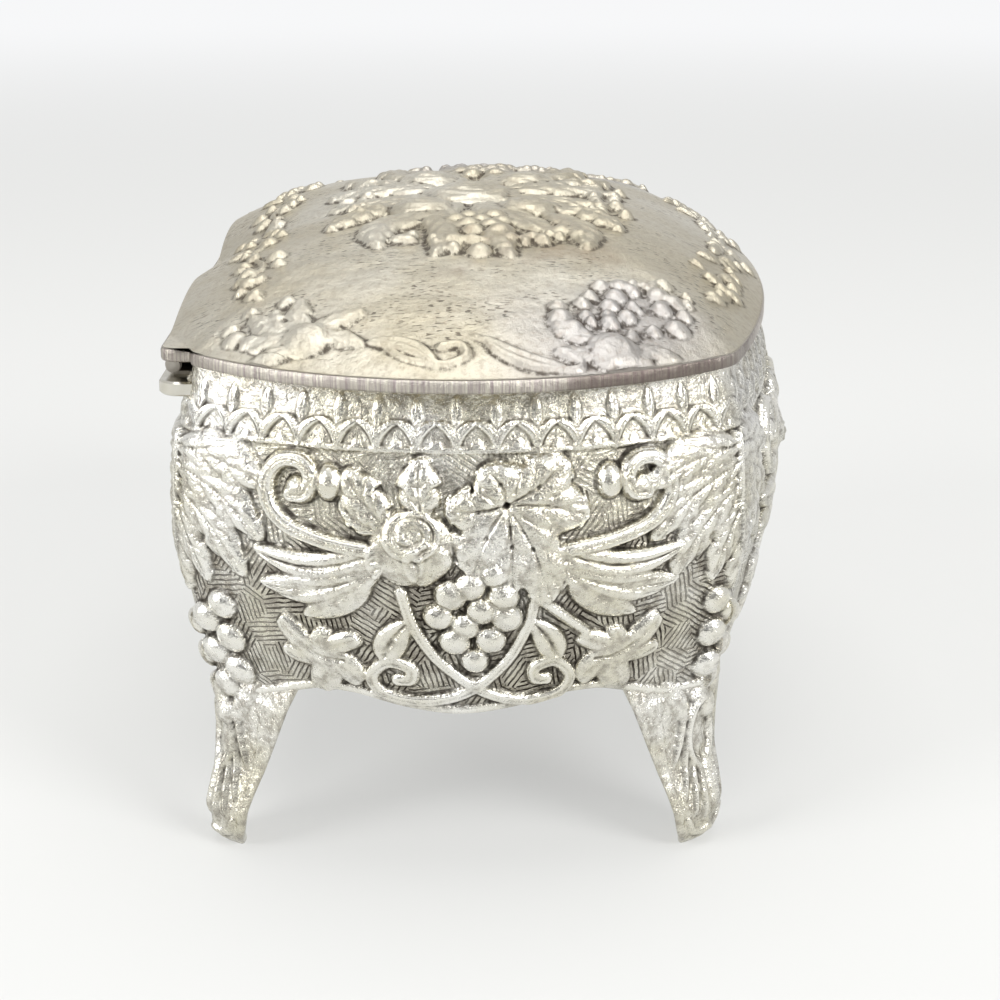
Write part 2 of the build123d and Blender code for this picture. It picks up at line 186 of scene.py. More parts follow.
def makePiece(name, points, faces, material, body, node=None, zones=None, fields=None, uv=None):
    # Points in millimetres; faces as arrays of equal-sided faces; zones gives a number for each array,
    # and the edges between different zones are kept sharp
    mesh = bpy.data.meshes.new(name)
    mesh.vertices.add(len(points))
    mesh.vertices.foreach_set("co", (points * mm).astype(np.float32).ravel())
    corners = np.concatenate([f.ravel() for f in faces]).astype(np.int32)
    sizes = np.concatenate([np.full(len(f), f.shape[1]) for f in faces])
    mesh.loops.add(len(corners))
    mesh.loops.foreach_set("vertex_index", corners)
    mesh.polygons.add(len(sizes))
    mesh.polygons.foreach_set("loop_start", np.concatenate([[0], np.cumsum(sizes)[:-1]]).astype(np.int32))
    mesh.update(calc_edges=True)
    mesh.validate()
    mesh.polygons.foreach_set("use_smooth", np.ones(len(sizes), dtype=bool))
    if zones:
        faceZone = np.concatenate([np.full(len(f), zone) for f, zone in zip(faces, zones)])
        edges = np.zeros(len(corners), dtype=np.int32)
        mesh.loops.foreach_get("edge_index", edges)
        loopZone = np.repeat(faceZone, sizes)
        low, high = np.full(len(mesh.edges), 99), np.full(len(mesh.edges), -1)
        np.minimum.at(low, edges, loopZone)
        np.maximum.at(high, edges, loopZone)
        sharp = mesh.attributes.new("sharp_edge", "BOOLEAN", "EDGE")
        sharp.data.foreach_set("value", low != high)
    for key, values in (fields or {}).items():
        layer = mesh.attributes.new(key, "FLOAT", "POINT")
        layer.data.foreach_set("value", values.astype(np.float32).ravel())
    if uv is not None:
        layer = mesh.uv_layers.new(name="millimetres")
        layer.data.foreach_set("uv", (uv[corners] * 0.01).astype(np.float32).ravel())
    piece = bpy.data.objects.new(name, mesh)
    bpy.context.collection.objects.link(piece)
    mesh.materials.append(material)
    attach(piece, body)
    if node:
        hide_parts(node)
    return piece


def stackPiece(name, loops, material, body, node=None, ring=False, zones=None, fields=None, uv=None):
    # Closed loops of points, one above another, joined by quads; a ring joins its last loop to its
    # first, anything else is closed by a face at each end
    rows, columns = loops.shape[:2]
    faces = []
    for row in range(rows - 1):
        faces.append(gridFaces(2, columns, row * columns, closed=True))
    if ring:
        j = np.arange(columns)
        k = (j + 1) % columns
        last = (rows - 1) * columns
        faces.append(np.stack([last + j, last + k, k, j], -1))
    else:
        faces.append(np.arange(columns)[::-1][None, :])
        faces.append(((rows - 1) * columns + np.arange(columns))[None, :])
    return makePiece(name, loops.reshape(-1, 3), faces, material, body, node, zones, fields, uv)


def blur(values, reach):
    # Gaussian blur of a grid, done along rows and then along columns
    size = int(np.ceil(reach * 2.5))
    taps = np.exp(-0.5 * (np.arange(-size, size + 1) / reach) ** 2)
    taps /= taps.sum()
    padded = np.pad(values, size, mode="edge")
    down = sum(tap * padded[k : k + values.shape[0], :] for k, tap in enumerate(taps))
    return sum(tap * down[:, k : k + values.shape[1]] for k, tap in enumerate(taps))


# Carving
# A field is a grid of places (x, y) with a height and a mark of bare ground. Each carving tool
# raises the height where its own shape is higher.
def fieldOf(x, y, height, ground):
    return {"x": x, "y": y, "h": height, "ground": ground}


def near(field, points, reach):
    # The grid's places inside the rectangle round some points, widened by reach
    low, high = np.min(points, axis=0) - reach, np.max(points, axis=0) + reach
    x, y = field["x"], field["y"]
    return np.nonzero((x > low[0]) & (x < high[0]) & (y > low[1]) & (y < high[1]))


def turned(field, where, centre, turn):
    # Distances from a centre, along axes turned by an angle
    x, y = field["x"][where] - centre[0], field["y"][where] - centre[1]
    return x * math.cos(turn) + y * math.sin(turn), y * math.cos(turn) - x * math.sin(turn)


def squaredAway(field, where, path):
    # Squared distance of each place from each point of a path
    x, y = field["x"][where][:, None], field["y"][where][:, None]
    return (x - path[:, 0]) ** 2 + (y - path[:, 1]) ** 2


def raiseTo(field, where, height, inside):
    old = field["h"][where]
    field["h"][where] = np.where(inside, np.maximum(old, height), old)
    field["ground"][where] *= np.where(inside, 0.0, 1.0)


def curveThrough(points, each=14):
    # Catmull-Rom: half of 2b + (c-a)t + (2a-5b+4c-d)t2 + (3b-a-3c+d)t3 between b and c
    p = np.asarray(points, dtype=float)
    p = np.vstack([2 * p[0] - p[1], p, 2 * p[-1] - p[-2]])
    t = np.linspace(0, 1, each, endpoint=False)[None, :, None]
    a, b, c, d = (p[k : len(p) - 3 + k, None, :] for k in range(4))
    curve = 0.5 * (2 * b + (c - a) * t + (2 * a - 5 * b + 4 * c - d) * t**2 + (3 * b - a - 3 * c + d) * t**3)
    return np.vstack([curve.reshape(-1, p.shape[1]), p[-2]])


def blade(field, base, tip, width, rise, bend=0.0, full=(0.6, 0.9), ridge=0.0, teeth=0, veins=0, under=0.0):
    # Leaflet: s runs 0 to 1 along a chord, its midrib bows by bend*4s(1-s), its half width is
    # s^a (1-s)^b, the edge rises over half a millimetre, and the halves are a roof or two cushions
    dx, dy = tip[0] - base[0], tip[1] - base[1]
    length = math.hypot(dx, dy)
    where = near(field, [base, tip], width * 0.7 + abs(bend))
    x, y = field["x"][where] - base[0], field["y"][where] - base[1]
    s = (x * dx + y * dy) / length**2
    inside = (s > 0) & (s < 1)
    s = np.clip(s, 1e-4, 1 - 1e-4)
    t = (y * dx - x * dy) / length - bend * 4 * s * (1 - s)
    a, b = full
    most = (a / (a + b)) ** a * (b / (a + b)) ** b
    half = width / 2 * s**a * (1 - s) ** b / most
    if teeth:
        half = half * (1.06 - 0.26 * np.mod(s * teeth + 0.35, 1.0) ** 1.5)
    q = np.clip(np.abs(t) / np.maximum(half, 1e-3), 0, 1)
    edge = np.sin(np.clip((half - np.abs(t)) / 0.42, 0, 1) * np.pi / 2)
    cushions = np.sin(np.pi * q**0.75)
    body = 0.46 + 0.54 * ((1 + ridge) / 2 * (1 - q) + (1 - ridge) / 2 * cushions)
    along = 0.62 + 0.38 * np.sin(np.pi * np.clip(0.1 + 0.8 * s, 0, 1))
    height = rise * body * along
    if veins:
        furrow = np.clip(np.cos(2 * np.pi * (veins * s - 1.3 * q)), -0.2, 1)
        height = height - 0.24 * rise / 1.5 * furrow * np.clip(q * 4, 0, 1)
    raiseTo(field, where, under + height * edge - (1 - edge) * under * 0.5, inside & (np.abs(t) < half))


def scroll(field, points, width, rise, under=0.0, ends=(1.0, 1.0), groove=0.0):
    # Rounded strip along a curve: a half round, with a groove along its top where one is asked for
    path = curveThrough(points)
    half = width / 2 * np.linspace(ends[0], ends[1], len(path))
    reach = half.max()
    where = near(field, path, reach)
    share = squaredAway(field, where, path) / half**2
    nearest = share.argmin(axis=1)
    q = np.sqrt(share[np.arange(len(nearest)), nearest])
    section = np.sqrt(np.clip(1 - q**2, 0, 1)) - groove * np.exp(-((q / 0.3) ** 2))
    height = rise * (half[nearest] / reach) ** 0.5 * section
    raiseTo(field, where, under * np.clip((1 - q) * 4, 0, 1) + height, q < 1)


def ball(field, centre, radius, rise, under=0.0, tall=1.0, turn=0.0):
    # Half an egg: height falls with the square root of 1 - q2
    where = near(field, [centre], radius * max(1, tall))
    x, y = turned(field, where, centre, turn)
    q2 = (x / radius) ** 2 + (y / (radius * tall)) ** 2
    raiseTo(field, where, under + rise * np.sqrt(np.clip(1 - q2, 0, 1)), q2 < 1)


def petal(field, centre, radii, turn, step, scallops=0, phase=0.0):
    # A lip laid over what is there: its edge is sharp, and it sinks towards its middle
    where = near(field, [centre], max(radii))
    x, y = turned(field, where, centre, turn)
    q = np.hypot(x / radii[0], y / radii[1])
    if scallops:
        q = q / (1 - 0.13 * np.abs(np.sin(scallops / 2 * np.arctan2(y, x) + phase)))
    edge = np.clip((1 - q) * min(radii) / 0.3, 0, 1)
    field["h"][where] += step * edge * (0.35 + 0.65 * np.clip(q, 0, 1) ** 2)


def rose(field, centre, radius, rise, turn=0.0, under=0.0):
    # A dome with rings of petals laid over it, each ring smaller, and a coiled bud on top
    ball(field, centre, radius, rise * 0.62, under)
    off = radius * 0.05
    rings = ((0.93, 5, 0.0), (0.72, 5, 0.9), (0.54, 4, 0.3), (0.37, 3, 1.1), (0.22, 3, 0.2))
    for share, count, phase in rings:
        swing = turn + phase * 5
        middle = centre[0] + off * math.sin(swing), centre[1] + off * math.cos(swing)
        size = radius * share, radius * share * 0.95
        petal(field, middle, size, turn + phase, rise * 0.15, count, phase)


def engrave(field, points, width, depth):
    # Groove along a curve: its depth falls as a bell curve to both sides, and towards its last point
    path = curveThrough(points)
    where = near(field, path, 2 * width)
    away = squaredAway(field, where, path)
    nearest = away.argmin(axis=1)
    fade = 1 - 0.6 * nearest / len(path)
    field["h"][where] -= depth * fade * np.exp(-away[np.arange(len(nearest)), nearest] / (width / 2) ** 2)


def grapes(field, centres, radius, rise, under=0.35):
    for number, (x, y) in enumerate(centres):
        size = radius * (1 + 0.07 * math.sin(number * 2.4))
        ball(field, (x, y), size, rise * size / radius, under)


# Ornament of the walls
# Places are in millimetres from the middle of a wall, to the right seen from outside, and above the table
endFlower = {
    "stalk": (6.9, 61.2),  # where the lobes of the vine leaf meet
    "vineLobes": [  # tip, width, bend
        ((-1.6, 60.4), 6.0, 0.5),
        ((4.0, 67.0), 6.0, -0.6),
        ((15.6, 67.4), 7.0, -0.5),
        ((18.6, 59.2), 7.2, 0.6),
        ((13.2, 46.0), 7.6, 0.8),
        ((2.0, 50.2), 7.0, -0.6),
        ((7.6, 47.6), 6.0, 0.4),
    ],
    "grapes": [
        (1.8, 48.8), (6.3, 47.1), (5.2, 50.6), (-1.0, 47.4), (3.2, 44.9), (-2.9, 43.9), (6.7, 43.7),
        (0.8, 42.3), (-0.9, 39.8), (4.3, 40.0), (1.8, 36.4),
    ],
    "grapeRadius": 2.3,
}
cornerFlower = {
    "lobes": [  # start on the midrib, tip, width, bend, how far it stands over the ones below
        ((0.0, 55.0), (0.4, 43.0), 4.8, 0.0, 0.0),
        ((0.0, 57.5), (5.2, 45.6), 5.2, 0.6, 0.1),
        ((0.0, 61.0), (12.2, 47.6), 6.8, 1.4, 0.2),
        ((0.0, 64.0), (16.0, 54.0), 7.4, 1.6, 0.35),
        ((0.0, 66.6), (17.4, 62.0), 7.0, 1.2, 0.5),
        ((0.0, 66.2), (11.4, 68.2), 4.6, -0.6, 0.5),
    ],
    "grapes": [
        (3.3, 42.1), (-0.5, 39.2), (-4.2, 37.6), (3.2, 36.4), (-0.8, 33.4), (-4.6, 32.0), (2.6, 30.6),
        (-1.0, 27.6), (-4.4, 26.4), (-2.0, 22.6),
    ],
    "grapeRadius": 2.35,
}


def carveRose(field, x, y, grow=1.0, rise=1.5):
    # The large rose: a cup of two broad petals, lapped low down, and a round bud above it whose
    # petals are marked by a groove that winds in, its radius falling evenly with its angle
    ball(field, (x, y), 6.1 * grow, rise, 0.2)
    for dx, dy, wide, high, turn, step in (
        (-2.2, -1.9, 4.2, 4.2, -0.5, 0.45), (2.4, -2.5, 3.4, 4.0, 0.5, 0.5), (0.1, 2.1, 4.2, 3.8, 0.2, 0.75),
        (0.1, 2.4, 2.9, 2.6, 0.9, 0.35), (0.0, 2.5, 1.5, 1.3, 0.4, 0.3),
    ):
        petal(field, (x + dx * grow, y + dy * grow), (wide * grow, high * grow), turn, step)
    coil = [
        (x + (0.1 + reach * math.cos(angle)) * grow, y + (2.4 + 0.9 * reach * math.sin(angle)) * grow)
        for angle, reach in zip(np.linspace(-1.2, 10.4, 25), np.linspace(3.4, 0.5, 25))
    ]
    engrave(field, coil, 0.6, 0.5)
    engrave(field, [(x + 0.3, y - 1.4), (x + 1.0, y - 3.0), (x + 0.7, y - 5.2)], 0.6, 0.6)


def placesFrom(x, y, side):
    # Turns distances from a place into points, mirrored where side is -1
    return lambda dx, dy: (x + side * dx, y + dy)


def carveVolute(field, side, x, y):
    # Stem that climbs from the middle and rolls up, with a bean-shaped ball in the roll
    at = placesFrom(x, y, side)
    scroll(
        field,
        [at(14, -8.4), at(8, -7.4), at(2.6, -5.4), at(-0.2, -2.2), at(-0.4, 1.6), at(1.6, 4.2), at(4.6, 4.2),
         at(6.2, 2.0), at(5.2, -0.4), at(3.4, -0.6)],
        3.5, 1.8, 0.3, (0.7, 0.85), 0.3,
    )
    ball(field, at(3.9, 0.6), 1.5, 1.6, 0.35)
    ball(field, at(8.7, 1.4), 1.9, 1.9, 0.3, 1.45)


def carveAcanthus(field, side, x, y):
    # Two long curved blades that leave the middle one under the other, and a shorter one below them
    at = placesFrom(x, y, side)
    blade(field, at(9, 3.4), at(27.6, 2.4), 4.8, 1.5, -2.6 * side, (0.4, 0.55), -1.0, under=0.25)
    blade(field, at(8, 1.4), at(27.2, -3.0), 6.4, 1.6, -2.2 * side, (0.5, 0.7), -0.4, veins=2, under=0.15)
    blade(field, at(10, 0.4), at(20.6, -8.0), 5.8, 1.5, -1.0 * side, (0.5, 0.7), 0.2)


def carveOak(field, side, x, y):
    # A smooth leaf of rounded lobes with narrow notches between them, turned up at its outer end
    at = placesFrom(x, y, side)
    for dx, dy, width in (
        (-6.6, 5.6, 4.2), (-6.8, 0.2, 3.4), (-1.4, -6.4, 5.4),
        (5.6, 3.4, 3.8), (5.2, -4.4, 4.6), (0.4, 4.6, 3.6),
    ):
        start = at(-dx * 0.2, -dy * 0.2)
        blade(field, start, at(dx, dy), width, 1.35, 0.6 * side, (0.3, 0.24), 0.1, under=0.2)
    ball(field, (x, y), 2.8, 0.4, 1.1)
    engrave(field, [at(3.0, -0.6), at(0, -0.2), at(-3.6, 1.8)], 0.6, 0.5)


def carveStems(field, side, x):
    # Double-ridged stem that crosses under the grapes and rolls up on the other side
    at = placesFrom(x, 0, side)
    scroll(
        field,
        [at(-9.6, 47.6), at(-8.2, 42.0), at(-4.8, 35.8), at(1.2, 30.6), at(7.6, 28.9), at(13.2, 29.9),
         at(15.0, 32.8), at(12.6, 35.6), at(9.4, 34.8), at(9.4, 32.8), at(11.2, 32.6)],
        2.0, 1.15, 0.25, (0.9, 1.15), 0.3,
    )


def carveCup(field, side, x, y):
    at = placesFrom(x, y, side)
    blade(field, at(3.0, 4.4), at(-1.8, -3.2), 5.0, 1.3, -0.6 * side, (0.7, 0.35), -1.0)


def carveVine(field, centre):
    # Lobes that fan out from the stalk, their tips drawn out, with an engraved rib down each and
    # two finer ones branching off it
    stalkX, stalkY = endFlower["stalk"]
    lobes = [(tx - stalkX, ty - stalkY, width, bend) for (tx, ty), width, bend in endFlower["vineLobes"]]
    for dx, dy, width, bend in lobes:
        tip = centre[0] + dx, centre[1] + dy
        blade(field, centre, tip, width * 1.22, 1.6, bend, (0.62, 0.52), 0.1, teeth=3, veins=3, under=0.4)
    ball(field, centre, 2.2, 0.5, 1.2)
    for dx, dy, width, bend in lobes:
        length = math.hypot(dx, dy)
        middle = centre[0] + dx * 0.45 - bend * dy / length, centre[1] + dy * 0.45 + bend * dx / length
        engrave(field, [centre, middle, (centre[0] + dx * 0.9, centre[1] + dy * 0.9)], 0.5, 0.6)
        for turn in (0.62, -0.62):
            ax, ay = dx * math.cos(turn) - dy * math.sin(turn), dx * math.sin(turn) + dy * math.cos(turn)
            engrave(field, [middle, (middle[0] + ax * 0.26, middle[1] + ay * 0.26)], 0.4, 0.35)


def carveEnd(field, side):
    # The end's own pattern: rose and vine leaf over a bunch of grapes, with scrolls to both sides
    placed = dict(field, x=field["x"] * side)
    middle = 1.6
    for mirrored in (1, -1):
        carveStems(placed, mirrored, middle)
        carveCup(placed, mirrored, middle - 11.2 * mirrored, 39.0)
        carveOak(placed, mirrored, middle - 21.6 * mirrored, 36.2)
    carveAcanthus(placed, -1, -2.0, 50.6)
    carveAcanthus(placed, 1, 5.6, 50.6)
    carveVolute(placed, 1, -26.6, 62.4)
    carveVolute(placed, -1, 30.2, 62.4)
    scroll(placed, [(10.6, 47.2), (18.4, 40.6)], 1.9, 1.3, 0.2)
    for base, tip, width in (
        ((-9.4, 57.6), (-15.6, 66.0), 6.6), ((-4.4, 58.6), (-5.0, 68.2), 6.4),
        ((-9.8, 56.6), (-16.4, 61.2), 4.0),
    ):
        blade(placed, base, tip, width, 1.5, 0.5, (0.6, 0.6), -0.5, teeth=3, veins=4, under=0.1)
    carveVine(placed, endFlower["stalk"])
    grapes(placed, endFlower["grapes"], endFlower["grapeRadius"], 2.0, 0.45)
    carveRose(placed, -6.2, 54.6)


def carveSide(field, roseLift):
    # The long walls: a high rose in the middle, and the end's leaves, grapes and scrolls to both sides
    for side in (1, -1):
        placed = dict(field, x=field["x"] * side)
        carveStems(placed, -1, 17.5)
        carveStems(placed, 1, 17.5)
        carveCup(placed, 1, 6.2, 39.0)
        carveCup(placed, -1, 28.8, 39.0)
        carveOak(placed, -1, 38.2, 36.2)
        carveAcanthus(placed, 1, 17.4, 50.6)
        carveAcanthus(placed, -1, 20.0, 50.0)
        carveVolute(placed, -1, 43.6, 62.4)
        carveVolute(placed, 1, 5.4, 61.0)
        blade(placed, (2.0, 44.6), (9.6, 32.6), 6.6, 1.5, 0.8, (0.5, 0.6), 0.2, veins=4)
        blade(placed, (0.8, 60.0), (7.4, 67.6), 6.0, 1.4, 0.6, (0.6, 0.6), -0.4, teeth=3, veins=4)
        blade(placed, (4.6, 53.0), (16.6, 51.8), 6.6, 1.5, 0.8, (0.5, 0.6), 0.2, teeth=4, veins=4)
        carveVine(placed, (19.0, 61.0))
        bunch = [(gx + 15.6, gy) for gx, gy in endFlower["grapes"]]
        grapes(placed, bunch, endFlower["grapeRadius"], 1.6, 0.4)
    blade(field, (0.0, 46.0), (0.0, 30.6), 7.0, 1.5, 0.0, (0.5, 0.6), 0.4, teeth=4, veins=5, under=0.1)
    carveRose(field, 0.0, 51.0, 1.08, roseLift)


def carveCorner(field, shift):
    # Pendant leaf with lobes to both sides of a corner, over a bunch of grapes
    for side in (1, -1):
        placed = dict(field, x=field["x"] * side)
        for start, tip, width, bend, under in cornerFlower["lobes"]:
            blade(placed, start, tip, width, 1.35, bend, (0.5, 0.6), 0.1, teeth=3, veins=4, under=under)
        for start, tip, width, bend, under in cornerFlower["lobes"][1:]:
            middle = (start[0] + tip[0]) / 2 + bend * 0.7, (start[1] + tip[1]) / 2 + bend * 0.7
            engrave(placed, [start, middle, tip], 0.45, 0.45)
    scroll(field, [(0.0, 67.6), (0.3, 60.0), (0.0, 50.0)], 1.2, 0.6, 1.2, (1.2, 0.5))
    bunch = [(x + shift, y) for x, y in cornerFlower["grapes"]]
    grapes(field, bunch, cornerFlower["grapeRadius"], 1.55, 0.3)


def carveFrieze(field, pitch):
    # Arches of two leaflets that spring from stems on a raised line, a half-moon under each arch, and
    # a split bud above each stem. x is the distance from the nearest stem.
    scroll(field, [(0.0, 68.6), (0.0, 72.4)], 0.6, 0.5, 0.0, (1.2, 0.8))
    blade(field, (0.1, 69.1), (pitch / 2 + 0.1, 72.9), 1.75, 0.85, 0.95, (0.4, 0.45), -1.0)
    ball(field, (pitch / 2, 69.3), 0.85, 0.5, 0.0, 1.1)
    blade(field, (0.0, 72.0), (0.0, 76.6), 2.0, 0.75, 0.0, (0.6, 0.7), 0.3)
    engrave(field, [(0.0, 73.0), (0.0, 76.2)], 0.35, 0.45)


def apronLine(x, reach):
    # Height of the lower edge: low in the middle, one arch to each side, then down into the feet
    places = np.array([0.0, 0.1, 0.33, 0.62, 0.84, 1.0, 1.3, 3.0]) * reach
    heights = np.array([26.4, 26.5, 27.5, 29.6, 29.8, 28.6, 26.2, 26.2])
    dense = np.arange(0, 3 * reach, 0.25)
    smooth = blur(np.interp(dense, places, heights)[None, :], 5.0)[0]
    return np.interp(np.abs(x), dense, smooth)


wallPieces = {
    "rows": 226,
    "steps": {"nearEnd": 0.212, "front": 0.33, "farEnd": 0.26, "rear": 0.34},  # spacing of the columns
    "friezeUnits": {"nearEnd": 15, "front": 22, "farEnd": 15, "rear": 21},
    "apronReach": {"nearEnd": 26.0, "front": 42.0, "farEnd": 26.0, "rear": 42.0},
    "bunchShift": {"nearEnd": (3.2, 0.0), "front": (0.0, 0.0), "farEnd": (0.0, 3.2), "rear": (3.2, 3.2)},
    "softening": 0.55,  # blur of the carving, in grid steps
    "friezeLow": 68.4,
    "friezeCap": 0.9,  # how far leaves that reach into the frieze may stand out
    "lineHeight": 68.85,  # of the raised line that the frieze stands on
    "lineRise": 0.5,
    "rimFade": 0.6,  # height over which the relief runs out at the rim
    "moulding": 1.5,  # width of the bead along the apron
    "patternStart": {"nearEnd": 0.0, "front": 200.0, "farEnd": 400.0, "rear": 600.0},
    "innerRows": 9,
}


def carveWall(wall):
    # The grid of a wall with its carved heights, and marks that tell the metal where it is raised, worn and
    # painted with a highlight, and where it is hollow, dark with patina and painted shade
    step = wallPieces["steps"][wall]
    parts = columnParts(wall, step)
    rimGrid = followWall(wall, parts, np.zeros((1, len(parts[0]))))
    across = (rimGrid["run"] - rimGrid["total"] / 2)[0]
    low = apronLine(across, wallPieces["apronReach"][wall])
    share = np.linspace(0, 1, wallPieces["rows"])[:, None]
    z = low + (box["rim"] - low) * share
    grow = swell(z)
    grid = followWall(wall, parts, grow)
    total = grid["total"].max(axis=1, keepdims=True)
    radius = {"nearEnd": endRadius, "farEnd": endRadius, "front": frontRadius}.get(wall, 1e9)
    u = (grid["run"] - total / 2) / (1 + grow / radius)
    h, ground = np.zeros(z.shape), np.ones(z.shape)
    field = fieldOf(u, z, h, ground)
    if wall in ("nearEnd", "farEnd"):
        carveEnd(field, 1 if wall == "nearEnd" else -1)
        cornerSide = 1
    else:
        carveSide(field, box["frontRose"] if wall == "front" else box["rearRose"])
        cornerSide = -1
    leftShift, rightShift = wallPieces["bunchShift"][wall]
    carveCorner(dict(field, x=cornerSide * grid["run"]), leftShift)
    carveCorner(dict(field, x=cornerSide * (total - grid["run"])), rightShift)

    pitch = total / wallPieces["friezeUnits"][wall]
    folded = np.abs((np.mod(grid["run"] / pitch, 1.0) - 0.5) * pitch)
    band = z > wallPieces["friezeLow"]
    ground[band] = 0.0
    h[band] = np.minimum(h[band], wallPieces["friezeCap"])
    carveFrieze(dict(field, x=folded), float(pitch.mean()))
    rise = wallPieces["lineRise"]
    line = np.clip(1 - np.abs(z - wallPieces["lineHeight"]) / rise, 0, 1)
    h[:] = np.maximum(h, rise * np.sqrt(line))

    edge, half = z - low, wallPieces["moulding"] / 2  # half round moulding along the apron
    bead = half * np.sqrt(np.clip(1 - ((edge - half) / half) ** 2, 0, 1))
    h[:] = np.maximum(h, np.where(edge < 2 * half, bead, 0))
    ground[edge < 2 * half] = 0.0
    h *= np.clip((box["rim"] - z) / wallPieces["rimFade"], 0, 1)
    seam = h[:, [0, -1]].copy()
    h = blur(h, wallPieces["softening"])
    h[:, [0, -1]] = seam  # the neighbouring wall has the same heights here
    # hollow and deep darken the hollows and the ground among the shapes, patina and painted shade; proud
    # lightens raised places, wear and a painted highlight
    marks = {
        "ground": blur(ground, 0.8),
        "hollow": np.clip((blur(h, 0.34 / step) - h) * 4.0, 0, 1),
        "deep": np.clip((blur(h, 1.9 / step) - h) * 1.5, 0, 1),
        "proud": np.clip((h - blur(h, 0.6 / step)) * 2.2, 0, 1),
    }
    return grid, z, h, marks, u, parts


def wallSlab(wall, material):
    # Outer face carved, inner face two millimetres in, closed round its edges
    grid, z, h, marks, u, parts = carveWall(wall)
    rows, columns = z.shape
    outer = np.stack([grid["px"] + grid["nx"] * h, grid["py"] + grid["ny"] * h, z], -1).reshape(-1, 3)
    innerRows = wallPieces["innerRows"]
    share = np.linspace(0, 1, innerRows)[:, None]
    zIn = z[0] + (box["rim"] - z[0]) * share
    inside = followWall(wall, parts, swell(zIn) - box["wall"])
    inner = np.stack([inside["px"], inside["py"], zIn], -1).reshape(-1, 3)
    start = rows * columns
    j = np.arange(columns - 1)
    top, innerTop = (rows - 1) * columns, start + (innerRows - 1) * columns
    left = np.concatenate([np.arange(rows) * columns, start + np.arange(innerRows)[::-1] * columns])
    right = left[::-1] + columns - 1
    faces = [
        gridFaces(rows, columns),
        gridFaces(innerRows, columns, start, flip=True),
        np.stack([j, start + j, start + j + 1, j + 1], -1),
        np.stack([top + j, top + j + 1, innerTop + j + 1, innerTop + j], -1),
        left[None, :],
        right[None, :],
    ]
    points = np.vstack([outer, inner])
    blank = np.zeros(len(inner))
    fields = {key: np.concatenate([values.ravel(), blank]) for key, values in marks.items()}
    uv = np.stack([np.concatenate([u.ravel(), np.tile(u[0], innerRows)]), points[:, 2]], -1)
    uv[:, 0] += wallPieces["patternStart"][wall]
    makePiece(
        wall + "_wall", points, faces, material, "box", "body_casting",
        list(range(len(faces))), fields, uv,
    )


# Feet
foot = {
    "sections": [  # height, spread along each wall, depth, how far its point stands out from the corner
        (0.0, 3.4, 3.6, -2.6),
        (1.2, 5.4, 4.8, -1.0),
        (3.0, 7.0, 5.8, -0.1),
        (6.5, 8.4, 6.6, 0.4),
        (9.5, 9.0, 6.8, -0.4),
        (14.0, 10.2, 7.2, -1.7),
        (19.0, 12.4, 8.2, -2.0),
        (25.0, 15.4, 9.4, -2.0),
        (31.0, 17.8, 10.4, -3.4),
    ],
    "levels": 120,
    "perSide": 46,  # points along each outer side
    "perBack": 20,
    "rounding": 6,  # of its corners, in points along the loop
    "patternStart": 900.0,
}


def carveFoot(field, shift):
    # Bright cap over a long smooth oval, flutes below it that fan out to a curled toe, and one thin
    # ridge down the side of the smooth flank
    oval = [(0.0, 24.4), (1.8, 23.0), (2.9, 19.4), (2.6, 15.8), (1.1, 13.2)]
    for side in (1, -1):
        placed = dict(field, x=field["x"] * side)
        scroll(placed, oval, 1.4, 1.2, 0.0, (1.0, 0.7))
        for base, tip, width, bend in (
            ((0.8, 15.0), (1.6, 4.2), 1.5, -0.1), ((2.2, 16.4), (3.6, 5.2), 1.4, -0.3),
            ((3.3, 19.0), (5.2, 8.0), 1.3, -0.4), ((3.6, 24.0), (6.2, 13.6), 1.4, -0.5),
        ):
            blade(placed, base, tip, width, 0.85, bend, (0.4, 0.5), 0.8)
        scroll(placed, [(9.0, 25.4), (7.9, 18.0), (6.9, 10.6), (5.6, 4.0)], 0.55, 0.3, 0.0, (1.3, 0.8))
        blade(placed, (3.4, 21.0), (8.6, 30.6), 3.6, 0.8, 0.6, (0.5, 0.6), 0.3, veins=3)
        scroll(placed, [(4.6, 5.0), (3.2, 2.8), (1.2, 2.2), (0.0, 2.6)], 1.5, 0.6, 0.1, (0.7, 1.1))
        scroll(placed, [(3.4, 1.3), (1.6, 0.8), (0.0, 1.0)], 1.0, 0.35)
    ball(field, (0.0, 24.8), 2.1, 0.8, 0.1, 0.8)
    bunch = [(x + shift, y) for x, y in cornerFlower["grapes"][-3:]]
    grapes(field, bunch, cornerFlower["grapeRadius"], 1.3, 0.2)


